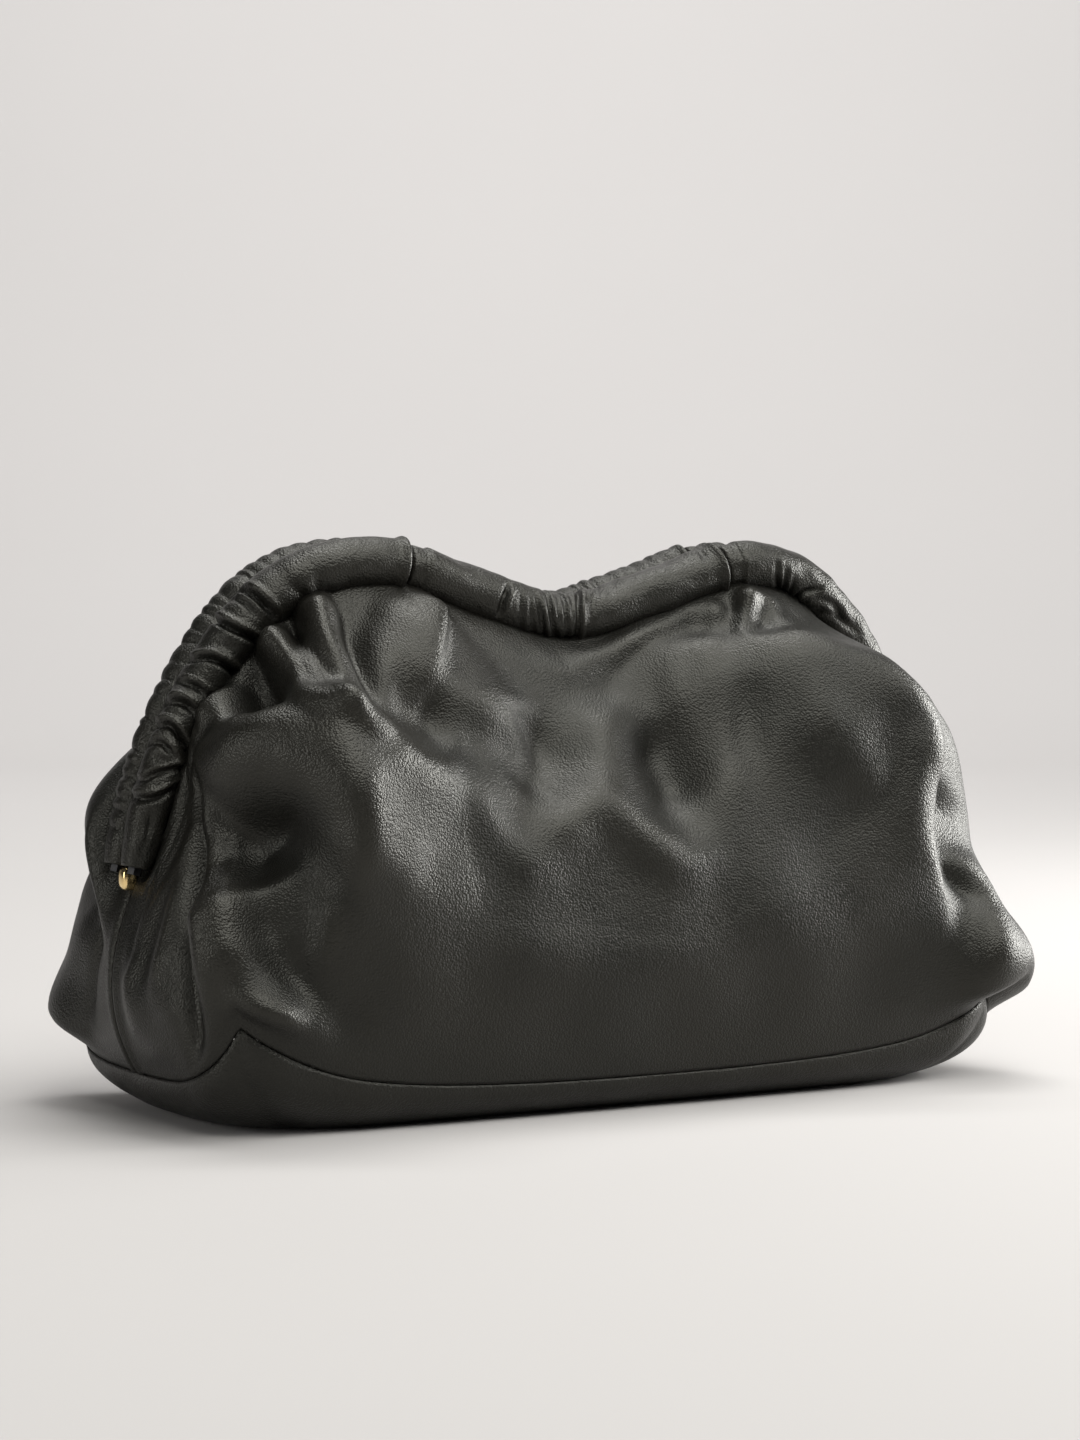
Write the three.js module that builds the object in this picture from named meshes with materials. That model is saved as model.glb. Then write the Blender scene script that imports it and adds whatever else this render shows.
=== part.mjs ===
// Gathered leather frame clutch, standing on its base. Millimetres, +Z up, +Y to the back.
import * as THREE from "three";

// Base
const BASE_WIDTH = 272;
const BASE_DEPTH = 112;
const BASE_CORNER = 20;
const SEAM_HEIGHT = 10; // of the seam between base and walls, along the front
const END_SEAM_RISE = 4; // the seam is this much higher at the two ends
const CORNER_PEAK = 19; // left corners' rise of the seam into a point
const RIGHT_PEAK = 14; // right corners' rise
const PEAK_REACH = 30; // the points' rise fades over this length towards the bag's middle
const PEAK_END_REACH = 9; // and over this one towards the bag's end
const END_INSET = 20; // the part that stands on the floor is narrower than the seam
const FOOT_CORNER = 38;
const SIDE_INSET = 16;

// Leather
const WALL = 1.8;
const GAP = 0.3; // between pieces that meet
const END_BULGE = 8.5;
const SIDE_BULGE = 7.5;
const BILLOW = 0.8; // how much of the bulge near the roll goes up and out past the bow
const FOLD_HEIGHT = 8;
const FOLD_WIDTH = 10;

// Frame bows and the padded rolls round them
const FRAME_HALF = 139;
const HINGE_HEIGHT = 74.5;
const HUMP_RISE = 85.5;
const MOUTH = 5; // between the two rolls at the middle
const END_MOUTH = 1.5; // between the two rolls at the ends
const ROLL_RADIUS = 7.2;
const ROLL_END_RADIUS = 5.4;
const ROLL_GAP = 0.5; // between the walls and the rolls
const END_ROOM = 2.4; // more room between the walls and the rolls' ends
const END_SWING = 0.9; // radians by which the walls meet the rolls' ends from the side, not from below
const PLEAT_DEPTH = 1.3;
const PLEAT_PITCH = 9;
const ROD_RADIUS = 2.2;
const BORE_CLEARANCE = 0.5;
const ROD_TAIL = 3.2; // the rod's end below the roll's end

// Hinge tongue
const HINGE_THICKNESS = 3.6;
const TONGUE_RADIUS = 2.45;
const TONGUE_DROP = 3.2; // from the crossbar to the centre of the tongue's round end
const CROSSBAR_HEIGHT = 1.6;

// Triangle counts
const END_COLUMNS = 9; // of a wall, between its end seam and a corner
const FRONT_COLUMNS = 28; // between the corners
const FRONT_ROWS = 14;
const BACK_COLUMNS = 18;
const BACK_ROWS = 11;
const BASE_RINGS = 3;
const ROLL_SIDES = 8;
const ROD_SIDES = 6;
const BOW_STATIONS = 26;
const STATIONS_PER_PLEAT = 3;

const FRONT = -1;
const BACK = 1;

// A frame bow from its middle to its ends, as shares of its rise from the hinges and of its half
// width. Its right shoulder sits a little lower.
const BOW = [
  // up, left across, right across
  [0.815, 0.0, 0.0],
  [0.89, 0.2, 0.2],
  [0.992, 0.4, 0.4],
  [1.0, 0.53, 0.52],
  [0.95, 0.64, 0.62],
  [0.85, 0.73, 0.7],
  [0.7, 0.81, 0.785],
  [0.52, 0.885, 0.865],
  [0.31, 0.945, 0.935],
  [0.13, 0.98, 0.978],
  [0.0, 1.0, 1.0],
];

// The sewn joins of the roll, as shares of the half width.
const ROLL_JOIN = 0.4;

// Gathered stretches of a roll, as shares of the bow's length from its left end. Each starts and ends
// over GATHER_FADE of that length to both sides.
const GATHER_FADE = 0.02;
const GATHERS = [
  // start, end, depth
  [0.03, 0.3, 1.0],
  [0.42, 0.58, 0.8],
  [0.7, 0.97, 1.0],
];

// Soft swellings of the walls. Along is the share from the left end seam to the right one, up the
// share from the base seam to the roll. Spreads are shares of FOLD_WIDTH, and out is one of END_BULGE.
const SWELLINGS = [
  // side, along, up, spread along, spread up, out
  [FRONT, 0.855, 0.12, 2.0, 2.0, 1.4],
  [FRONT, 0.79, 0.81, 4.0, 2.6, 2.0],
  [FRONT, 0.2, 0.62, 3.0, 2.6, 0.5],
  [BACK, 0.14, 0.03, 2.0, 1.8, 1.2],
  [BACK, 0.1, 0.74, 3.0, 2.0, 1.1],
  [BACK, 0.86, 0.08, 2.0, 2.2, 1.05],
];

// Folds of the walls, each along a bent line of three points. Widths are shares of FOLD_WIDTH, and
// heights of FOLD_HEIGHT: above zero a ridge, below zero a valley.
const FRONT_FOLDS = [
  // along, up, mid along, mid up, end along, end up, width, height
  [0.27, 0.93, 0.28, 0.88, 0.28, 0.81, 0.7, 0.6], // gathers under the left hump
  [0.22, 0.92, 0.23, 0.88, 0.25, 0.81, 0.7, 0.4],
  [0.33, 0.95, 0.31, 0.92, 0.29, 0.86, 0.7, -0.6],
  [0.36, 0.94, 0.36, 0.9, 0.35, 0.84, 0.7, 0.4],
  [0.15, 0.88, 0.19, 0.82, 0.24, 0.76, 0.9, 0.4], // long lip below the gathers
  [0.24, 0.76, 0.29, 0.71, 0.35, 0.72, 0.9, 0.6],
  [0.29, 0.82, 0.33, 0.83, 0.38, 0.83, 0.8, -0.5], // dark pocket above it
  [0.37, 0.85, 0.42, 0.8, 0.41, 0.69, 0.9, 0.4],
  [0.45, 0.85, 0.44, 0.76, 0.43, 0.66, 1.3, -0.8], // the two long hollows of the middle
  [0.53, 0.85, 0.55, 0.72, 0.57, 0.57, 1.4, -0.8],
  [0.38, 0.58, 0.4, 0.52, 0.47, 0.66, 1.0, 0.5], // the two festoons below them
  [0.5, 0.62, 0.55, 0.52, 0.59, 0.61, 1.0, 0.5],
  [0.62, 0.72, 0.68, 0.73, 0.75, 0.6, 1.2, 0.5], // right shoulder
  [0.7, 0.68, 0.71, 0.62, 0.73, 0.56, 0.8, -0.4],
  [0.57, 0.93, 0.64, 0.89, 0.77, 0.92, 0.9, 0.6],
  [0.22, 0.72, 0.35, 0.66, 0.4, 0.53, 1.3, 0.7], // broad left shoulder
  [0.32, 0.6, 0.36, 0.54, 0.39, 0.46, 1.2, -0.5],
  [0.205, 0.66, 0.195, 0.56, 0.195, 0.46, 1.3, -0.9], // big hollow at the left
  [0.83, 0.85, 0.81, 0.62, 0.79, 0.37, 1.0, 0.5], // fold that turns the right corner
  [0.88, 0.64, 0.87, 0.54, 0.84, 0.44, 1.3, -0.9],
  [0.12, 0.67, 0.13, 0.46, 0.14, 0.21, 0.9, 0.5], // ridges of the left end
  [0.07, 0.7, 0.08, 0.45, 0.07, 0.2, 0.9, -0.4],
];

const BACK_FOLDS = [
  // along, up, mid along, mid up, end along, end up, width, height
  [0.18, 0.93, 0.22, 0.8, 0.25, 0.66, 1.2, 0.7],
  [0.27, 0.95, 0.29, 0.84, 0.3, 0.7, 1.1, -0.6],
  [0.36, 0.95, 0.37, 0.82, 0.4, 0.66, 1.3, 0.7],
  [0.47, 0.88, 0.46, 0.74, 0.43, 0.58, 1.4, -0.8],
  [0.53, 0.93, 0.55, 0.76, 0.6, 0.6, 1.4, 0.6],
  [0.63, 0.95, 0.66, 0.8, 0.66, 0.62, 1.3, -0.7],
  [0.73, 0.95, 0.74, 0.84, 0.71, 0.68, 1.2, 0.7],
  [0.82, 0.9, 0.8, 0.76, 0.77, 0.6, 1.2, -0.6],
  [0.86, 0.66, 0.84, 0.44, 0.82, 0.22, 1.2, 0.5],
  [0.14, 0.7, 0.16, 0.46, 0.18, 0.24, 1.2, 0.5],
  [0.05, 0.52, 0.1, 0.54, 0.16, 0.52, 1.2, -0.8],
  [0.05, 0.5, 0.06, 0.3, 0.07, 0.12, 0.9, -0.5],
];

const blackLeather = { color: 0x1b1a19, roughness: 0.55, metalness: 0 };
const brass = { color: 0xd8b46a, roughness: 0.25, metalness: 1 };
const darkSteel = { color: 0x2a2a2c, roughness: 0.45, metalness: 0.9 };

function smooth(from, to, value) {
  const t = THREE.MathUtils.clamp((value - from) / (to - from), 0, 1);
  return t * t * (3 - 2 * t);
}

// A polyline that gives the point at a share of its length.
class Path {
  constructor(points) {
    this.points = points;
    this.lengths = [0];
    for (let i = 1; i < points.length; i += 1) {
      this.lengths.push(this.lengths[i - 1] + points[i].distanceTo(points[i - 1]));
    }
    this.total = this.lengths[this.lengths.length - 1];
  }

  at(share) {
    const target = THREE.MathUtils.clamp(share, 0, 1) * this.total;
    let i = 1;
    while (i < this.points.length - 1 && this.lengths[i] < target) {
      i += 1;
    }
    const span = this.lengths[i] - this.lengths[i - 1];
    return this.points[i - 1].clone().lerp(this.points[i], (target - this.lengths[i - 1]) / span);
  }

  along(share, step = 0.004) {
    return this.at(share + step).sub(this.at(share - step)).normalize();
  }

  nearest(place) {
    let best = this.points[0];
    for (const point of this.points) {
      if (point.distanceToSquared(place) < best.distanceToSquared(place)) {
        best = point;
      }
    }
    return best;
  }
}

function rollRadius(across) {
  return ROLL_RADIUS + (ROLL_END_RADIUS - ROLL_RADIUS) * smooth(0.7, 1, across);
}

// Centre line of one bow, from its left end over both humps to its right end.
function bowPath(side) {
  const place = (across, up) => new THREE.Vector3(
    across * FRAME_HALF,
    0,
    up * HUMP_RISE + HINGE_HEIGHT,
  );
  const right = BOW.map(([up, , across]) => place(across, up));
  const left = BOW.slice(1).map(([up, across]) => place(-across, up)).reverse();
  const curve = new THREE.CatmullRomCurve3([...left, ...right], false, "catmullrom", 0.5);
  const middle = ROLL_RADIUS + MOUTH / 2;
  const end = ROLL_END_RADIUS + END_MOUTH / 2;
  const points = curve.getPoints(24 * BOW.length).map((point) => {
    const across = Math.abs(point.x) / FRAME_HALF;
    const apart = middle + (end - middle) * smooth(0.45, 0.95, across);
    return new THREE.Vector3(point.x, side * apart, point.z);
  });
  return new Path(points);
}

// Half of a rounded rectangle, from the left end round one side to the right end.
function planPath(side, width, depth, corner) {
  const points = [new THREE.Vector3(-width / 2, side * GAP / 2, 0)];
  for (let k = 0; k <= 16; k += 1) {
    const turn = (Math.PI / 2) * (k / 16);
    points.push(new THREE.Vector3(
      -width / 2 + corner - corner * Math.cos(turn),
      side * (depth / 2 - corner + corner * Math.sin(turn)),
      0,
    ));
  }
  const mirrored = points.map((point) => new THREE.Vector3(-point.x, point.y, 0)).reverse();
  return new Path([...points, ...mirrored]);
}

const bows = { [FRONT]: bowPath(FRONT), [BACK]: bowPath(BACK) };
const seams = {
  [FRONT]: planPath(FRONT, BASE_WIDTH, BASE_DEPTH, BASE_CORNER),
  [BACK]: planPath(BACK, BASE_WIDTH, BASE_DEPTH, BASE_CORNER),
};
const cornerAlong = (BASE_DEPTH / 2 - BASE_CORNER + BASE_CORNER * Math.PI * 0.29) / seams[FRONT].total;

// Height of the base seam, with its points at the corners.
function seamHeight(share) {
  const length = seams[FRONT].total;
  const peak = (centre, height, inward) => {
    const away = (share - centre) * length * inward;
    return height * Math.exp(-Math.abs(away) / (away > 0 ? PEAK_REACH : PEAK_END_REACH));
  };
  const end = END_SEAM_RISE * (1 - smooth(0.1, 0.25, Math.min(share, 1 - share)));
  return {
    foot: SEAM_HEIGHT + end,
    peak: peak(cornerAlong, CORNER_PEAK, 1) + peak(1 - cornerAlong, RIGHT_PEAK, -1),
  };
}

// Level direction from the seam into the bag.
function seamInward(side, share) {
  const heading = seams[side].along(share, 0.01);
  const inward = new THREE.Vector3(side * heading.y, side * -heading.x, 0);
  if (share === 0 || share === 1) {
    inward.y = 0;
  }
  return inward.normalize();
}

function distanceToSegment(x, y, ax, ay, bx, by) {
  const t = THREE.MathUtils.clamp(((x - ax) * (bx - ax) + (y - ay) * (by - ay))
    / ((bx - ax) ** 2 + (by - ay) ** 2), 0, 1);
  return Math.hypot(x - ax - t * (bx - ax), y - ay - t * (by - ay));
}

// How far the folds lift the wall at a place on it. They die away at the seams and at the roll.
function foldLift(side, along, up) {
  const length = seams[side].total;
  const tall = HINGE_HEIGHT + HUMP_RISE / 2;
  const x = along * length;
  const y = up * tall;
  let lift = 0;
  for (const row of side === FRONT ? FRONT_FOLDS : BACK_FOLDS) {
    const [a, b, midA, midB, endA, endB, width, height] = row;
    const first = distanceToSegment(x, y, a * length, b * tall, midA * length, midB * tall);
    const second = distanceToSegment(x, y, midA * length, midB * tall, endA * length, endB * tall);
    const away = Math.min(first, second) / (width * FOLD_WIDTH);
    lift += height * FOLD_HEIGHT * Math.exp(-away * away);
  }
  const seamFade = smooth(0, 0.05, Math.min(along, 1 - along)) * smooth(0, 0.15, up);
  return lift * seamFade * smooth(0, 0.12, 1 - up);
}

function swelling(side, along, up) {
  const length = seams[side].total;
  const tall = HINGE_HEIGHT + HUMP_RISE / 2;
  let out = 0;
  for (const [where, a, b, spreadAlong, spreadUp, share] of SWELLINGS) {
    if (where === side) {
      const x = ((along - a) * length) / (spreadAlong * FOLD_WIDTH);
      const y = ((up - b) * tall) / (spreadUp * FOLD_WIDTH);
      out += share * END_BULGE * Math.exp(-x * x - y * y);
    }
  }
  const endFade = smooth(0, 0.04, Math.min(along, 1 - along));
  return out * smooth(0, 0.08, up) * smooth(0, 0.2, 1 - up) * endFade;
}

// Distance that a wall keeps from the roll's centre line. The roll's ends need more room, because the
// wall turns sharply round them.
function rollClearance(across, towardsEnd) {
  return rollRadius(across) + ROLL_GAP + END_ROOM * (1 - smooth(0.04, 0.12, towardsEnd));
}

// Moves a place out of the way of the roll.
function clearOfRoll(side, place, towardsEnd) {
  const axis = bows[side].nearest(place);
  const needed = rollClearance(Math.abs(axis.x) / FRAME_HALF, towardsEnd);
  const away = place.clone().sub(axis);
  return away.length() < needed ? axis.clone().addScaledVector(away.normalize(), needed) : place;
}

// A place on the outside of a wall.
function wallPoint(side, along, up) {
  const foot = seams[side].at(along);
  const inward = seamInward(side, along);
  const { foot: footHeight, peak } = seamHeight(along);
  const bow = bows[side].at(along);
  const bowAlong = bows[side].along(along);
  const flat = Math.hypot(bowAlong.x, bowAlong.z);
  const towardsEnd = Math.min(along, 1 - along);
  const drop = rollClearance(Math.abs(bow.x) / FRAME_HALF, towardsEnd);
  const swing = END_SWING * (1 - smooth(0.06, 0.25, towardsEnd));
  const top = new THREE.Vector3(
    bow.x + (bowAlong.z / flat) * drop * Math.cos(swing),
    bow.y + side * drop * Math.sin(swing),
    bow.z - (bowAlong.x / flat) * drop * Math.cos(swing),
  );
  const middle = smooth(0.1, 0.3, towardsEnd);
  const lean = up ** (1.5 + 1.1 * middle);
  const bulge = END_BULGE + (SIDE_BULGE - END_BULGE) * middle;
  const billow = bulge * Math.sin(Math.PI * up ** 0.85);
  const out = billow + swelling(side, along, up) + foldLift(side, along, up);
  const closing = smooth(0, 0.04, towardsEnd);
  const outward = new THREE.Vector3(-inward.x, -inward.y * closing, 0);
  outward.x -= (bowAlong.z / flat) * BILLOW * up;
  outward.z += (bowAlong.x / flat) * BILLOW * up;
  outward.normalize();
  const place = new THREE.Vector3(
    foot.x + (top.x - foot.x) * lean,
    foot.y + (top.y - foot.y) * lean * closing,
    footHeight + (top.z - footHeight) * up + peak * (1 - up) ** 2.5,
  ).addScaledVector(outward, out);
  const clear = clearOfRoll(side, place, towardsEnd);
  if (towardsEnd === 0) {
    clear.y = foot.y;
  }
  return clear;
}

// Vertices and triangles of one closed solid.
class Solid {
  constructor() {
    this.points = [];
    this.triangles = [];
  }

  add(point) {
    this.points.push(point);
    return this.points.length - 1;
  }

  quad(a, b, c, d) {
    this.triangles.push([a, b, c], [a, c, d]);
  }

  mesh(name, look) {
    let volume = 0;
    for (const [a, b, c] of this.triangles) {
      const cross = new THREE.Vector3().crossVectors(this.points[b], this.points[c]);
      volume += this.points[a].dot(cross);
    }
    const turned = volume < 0 ? this.triangles.map(([a, b, c]) => [a, c, b]) : this.triangles;
    const geometry = new THREE.BufferGeometry();
    geometry.setAttribute("position", new THREE.Float32BufferAttribute(
      this.points.flatMap((point) => [point.x, point.y, point.z]), 3,
    ));
    geometry.setIndex(turned.flat());
    geometry.computeVertexNormals();
    const result = new THREE.Mesh(geometry, new THREE.MeshStandardMaterial(look));
    result.name = name;
    return result;
  }
}

// Places along a wall, with one exactly at each corner point of the seam.
function columnShares(middleColumns) {
  const shares = [];
  for (let i = 0; i < END_COLUMNS; i += 1) {
    shares.push((cornerAlong * i) / END_COLUMNS);
  }
  for (let i = 0; i <= middleColumns; i += 1) {
    shares.push(cornerAlong + ((1 - 2 * cornerAlong) * i) / middleColumns);
  }
  for (let i = 1; i <= END_COLUMNS; i += 1) {
    shares.push(1 - cornerAlong + (cornerAlong * i) / END_COLUMNS);
  }
  return shares;
}

const frontShares = columnShares(FRONT_COLUMNS);
const backShares = columnShares(BACK_COLUMNS);

// One leather wall, from the base seam up to its roll.
function wall(side, shares, rows) {
  const outer = shares.map((along) => {
    const column = [];
    for (let j = 0; j <= rows; j += 1) {
      column.push(wallPoint(side, along, j / rows));
    }
    return column;
  });
  const last = shares.length - 1;
  const inward = (i, j) => {
    if (j === 0) {
      return seamInward(side, shares[i]);
    }
    const across = outer[Math.min(i + 1, last)][j].clone().sub(outer[Math.max(i - 1, 0)][j]);
    const upward = outer[i][Math.min(j + 1, rows)].clone().sub(outer[i][Math.max(j - 1, 0)]);
    const normal = across.cross(upward).multiplyScalar(side);
    if (i === 0 || i === last) {
      normal.y = 0;
    }
    return normal.normalize();
  };
  const solid = new Solid();
  const outside = outer.map((column) => column.map((point) => solid.add(point)));
  const inside = outer.map((column, i) => column.map(
    (point, j) => solid.add(point.clone().addScaledVector(inward(i, j), WALL)),
  ));
  for (let i = 0; i < last; i += 1) {
    for (let j = 0; j < rows; j += 1) {
      solid.quad(outside[i][j], outside[i + 1][j], outside[i + 1][j + 1], outside[i][j + 1]);
      solid.quad(inside[i][j], inside[i][j + 1], inside[i + 1][j + 1], inside[i + 1][j]);
    }
    solid.quad(outside[i][0], inside[i][0], inside[i + 1][0], outside[i + 1][0]);
    solid.quad(outside[i][rows], outside[i + 1][rows], inside[i + 1][rows], inside[i][rows]);
  }
  for (let j = 0; j < rows; j += 1) {
    solid.quad(outside[0][j], outside[0][j + 1], inside[0][j + 1], inside[0][j]);
    solid.quad(outside[last][j], inside[last][j], inside[last][j + 1], outside[last][j + 1]);
  }
  return solid;
}

// The base: a shallow tray whose rim follows the seam of both walls.
function baseTray() {
  const around = [
    ...frontShares.map((share) => [FRONT, share]),
    ...[...backShares].reverse().map((share) => [BACK, share]),
  ];
  const footWidth = BASE_WIDTH - 2 * END_INSET;
  const footDepth = BASE_DEPTH - 2 * SIDE_INSET;
  const ring = (inset, floor, turn) => around.map(([side, share]) => {
    const seam = seams[side].at(share).addScaledVector(seamInward(side, share), inset);
    const foot = planPath(side, footWidth, footDepth, FOOT_CORNER).at(share);
    const { foot: footHeight, peak } = seamHeight(share);
    const rim = footHeight + peak - GAP;
    const point = foot.lerp(seam, Math.cos(turn));
    point.z = rim + (floor - rim) * Math.sin(turn);
    return point;
  });
  const solid = new Solid();
  const skin = (inset, floor) => {
    const rings = [];
    for (let k = 0; k <= BASE_RINGS; k += 1) {
      const turn = (Math.PI / 2) * (k / BASE_RINGS);
      rings.push(ring(inset, floor, turn).map((point) => solid.add(point)));
    }
    return { rings, centre: solid.add(new THREE.Vector3(0, 0, floor)) };
  };
  const outside = skin(0, 0);
  const inside = skin(WALL, WALL);
  const count = around.length;
  for (let i = 0; i < count; i += 1) {
    const next = (i + 1) % count;
    for (let k = 0; k < BASE_RINGS; k += 1) {
      const [outer, outerBelow] = [outside.rings[k], outside.rings[k + 1]];
      const [inner, innerBelow] = [inside.rings[k], inside.rings[k + 1]];
      solid.quad(outer[i], outerBelow[i], outerBelow[next], outer[next]);
      solid.quad(inner[i], inner[next], innerBelow[next], innerBelow[i]);
    }
    const outerLast = outside.rings[BASE_RINGS];
    const innerLast = inside.rings[BASE_RINGS];
    solid.triangles.push([outside.centre, outerLast[next], outerLast[i]]);
    solid.triangles.push([inside.centre, innerLast[i], innerLast[next]]);
    const [outerRim, innerRim] = [outside.rings[0], inside.rings[0]];
    const rim = [outerRim[i], outerRim[next], innerRim[next], innerRim[i]];
    if (around[i][0] === BACK) {
      rim.push(rim.shift());
    }
    solid.quad(...rim);
  }
  return solid;
}

// A ring of points round a bow's centre line.
function section(bow, share, radius, sides, shift = 0) {
  const forward = bow.along(share);
  const centre = bow.at(share).addScaledVector(forward, shift);
  const aside = new THREE.Vector3(0, 1, 0).addScaledVector(forward, -forward.y).normalize();
  const upward = new THREE.Vector3().crossVectors(forward, aside).normalize();
  const points = [];
  for (let k = 0; k < sides; k += 1) {
    const turn = (2 * Math.PI * k) / sides;
    points.push(centre.clone()
      .addScaledVector(upward, radius * Math.cos(turn))
      .addScaledVector(aside, radius * Math.sin(turn)));
  }
  return points;
}

function pleatValley(bow, share) {
  let depth = 0;
  for (const [start, end, strength] of GATHERS) {
    const rising = smooth(start - GATHER_FADE, start + GATHER_FADE, share);
    const falling = 1 - smooth(end - GATHER_FADE, end + GATHER_FADE, share);
    depth = Math.max(depth, strength * rising * falling);
  }
  const turn = (Math.PI * share * bow.total) / PLEAT_PITCH;
  return PLEAT_DEPTH * depth * (1 - Math.abs(Math.sin(turn)));
}

function tubeFaces(solid, rings) {
  for (let i = 0; i + 1 < rings.length; i += 1) {
    const sides = rings[i].length;
    for (let k = 0; k < sides; k += 1) {
      const next = (k + 1) % sides;
      solid.quad(rings[i][k], rings[i + 1][k], rings[i + 1][next], rings[i][next]);
    }
  }
}

const bowShares = Array.from({ length: BOW_STATIONS + 1 }, (unused, i) => i / BOW_STATIONS);

// One sewn length of a padded roll, with a bore for the bow.
function roll(side, from, to) {
  const bow = bows[side];
  const solid = new Solid();
  const start = from === 0 ? 0 : from + GAP / 2 / bow.total;
  const end = to === 1 ? 1 : to - GAP / 2 / bow.total;
  const stationStep = PLEAT_PITCH / STATIONS_PER_PLEAT;
  const count = Math.ceil(((end - start) * bow.total) / stationStep);
  const outer = [];
  for (let i = 0; i <= count; i += 1) {
    const share = start + ((end - start) * i) / count;
    const across = Math.abs(bow.at(share).x) / FRAME_HALF;
    const radius = rollRadius(across) - pleatValley(bow, share);
    outer.push(section(bow, share, radius, ROLL_SIDES).map((point) => solid.add(point)));
  }
  const between = bowShares.filter((share) => share > start + 0.003 && share < end - 0.003);
  const bore = [start, ...between, end].map((share) => {
    const points = section(bow, share, ROD_RADIUS + BORE_CLEARANCE, ROLL_SIDES);
    return points.map((point) => solid.add(point));
  });
  tubeFaces(solid, outer);
  tubeFaces(solid, [...bore].reverse());
  for (let k = 0; k < ROLL_SIDES; k += 1) {
    const next = (k + 1) % ROLL_SIDES;
    solid.quad(outer[0][k], outer[0][next], bore[0][next], bore[0][k]);
    const last = outer.length - 1;
    const lastBore = bore.length - 1;
    solid.quad(outer[last][next], outer[last][k], bore[lastBore][k], bore[lastBore][next]);
  }
  return solid;
}

// The bow itself, with a short tail past each end of the roll.
function rod(side) {
  const bow = bows[side];
  const solid = new Solid();
  const rings = [
    section(bow, 0, ROD_RADIUS, ROD_SIDES, -ROD_TAIL),
    ...bowShares.map((share) => section(bow, share, ROD_RADIUS, ROD_SIDES)),
    section(bow, 1, ROD_RADIUS, ROD_SIDES, ROD_TAIL),
  ].map((points) => points.map((point) => solid.add(point)));
  tubeFaces(solid, rings);
  const last = rings.length - 1;
  for (let k = 1; k + 1 < ROD_SIDES; k += 1) {
    solid.triangles.push([rings[0][0], rings[0][k], rings[0][k + 1]]);
    solid.triangles.push([rings[last][0], rings[last][k + 1], rings[last][k]]);
  }
  return solid;
}

// A flat brass tongue between the tails of the two bows.
function hinge(name, end) {
  const tail = ROLL_END_RADIUS + END_MOUTH / 2 - ROD_RADIUS - GAP;
  const centre = -CROSSBAR_HEIGHT - TONGUE_DROP + TONGUE_RADIUS;
  const shape = new THREE.Shape();
  shape.moveTo(-tail, 0);
  shape.lineTo(-tail, -CROSSBAR_HEIGHT);
  shape.lineTo(-TONGUE_RADIUS, -CROSSBAR_HEIGHT);
  shape.lineTo(-TONGUE_RADIUS, centre);
  shape.absarc(0, centre, TONGUE_RADIUS, Math.PI, 2 * Math.PI, false);
  shape.lineTo(TONGUE_RADIUS, -CROSSBAR_HEIGHT);
  shape.lineTo(tail, -CROSSBAR_HEIGHT);
  shape.lineTo(tail, 0);
  const geometry = new THREE.ExtrudeGeometry(shape, {
    depth: HINGE_THICKNESS,
    bevelEnabled: false,
    curveSegments: 6,
    steps: 1,
  });
  geometry.translate(0, 0, -HINGE_THICKNESS / 2);
  geometry.rotateX(Math.PI / 2);
  geometry.rotateZ(Math.PI / 2);
  const result = new THREE.Mesh(geometry, new THREE.MeshStandardMaterial(brass));
  result.name = name;
  result.position.set(end * FRAME_HALF, 0, HINGE_HEIGHT - ROD_TAIL + CROSSBAR_HEIGHT);
  return result;
}

// Share of the bow's length at which it reaches a share of the half width.
function joinShare(bow, across) {
  let low = 0;
  let high = 1;
  for (let k = 0; k < 40; k += 1) {
    const middle = (low + high) / 2;
    if (bow.at(middle).x < across * FRAME_HALF) {
      low = middle;
    } else {
      high = middle;
    }
  }
  return low;
}

const clutch = new THREE.Group();
clutch.name = "clutch_bag";
clutch.add(baseTray().mesh("base_panel", blackLeather));
clutch.add(wall(FRONT, frontShares, FRONT_ROWS).mesh("front_panel", blackLeather));
clutch.add(wall(BACK, backShares, BACK_ROWS).mesh("back_panel", blackLeather));
for (const [side, prefix] of [[FRONT, "front"], [BACK, "back"]]) {
  const left = joinShare(bows[side], -ROLL_JOIN);
  const right = joinShare(bows[side], ROLL_JOIN);
  clutch.add(roll(side, 0, left).mesh(`${prefix}_roll_left`, blackLeather));
  clutch.add(roll(side, left, right).mesh(`${prefix}_roll_middle`, blackLeather));
  clutch.add(roll(side, right, 1).mesh(`${prefix}_roll_right`, blackLeather));
  clutch.add(rod(side).mesh(`${prefix}_frame`, darkSteel));
}
clutch.add(hinge("hinge_left", -1));
clutch.add(hinge("hinge_right", 1));

// The origin is the middle of the part's underside.
const middle = new THREE.Box3().setFromObject(clutch).getCenter(new THREE.Vector3());
clutch.position.set(-middle.x, -middle.y, 0);

export default clutch;
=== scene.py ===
"""Gathered black leather clutch with a hidden two-bow frame, dressed for the studio."""

import math

import bmesh
import bpy
import numpy as np
from mathutils import Matrix, Vector


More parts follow.
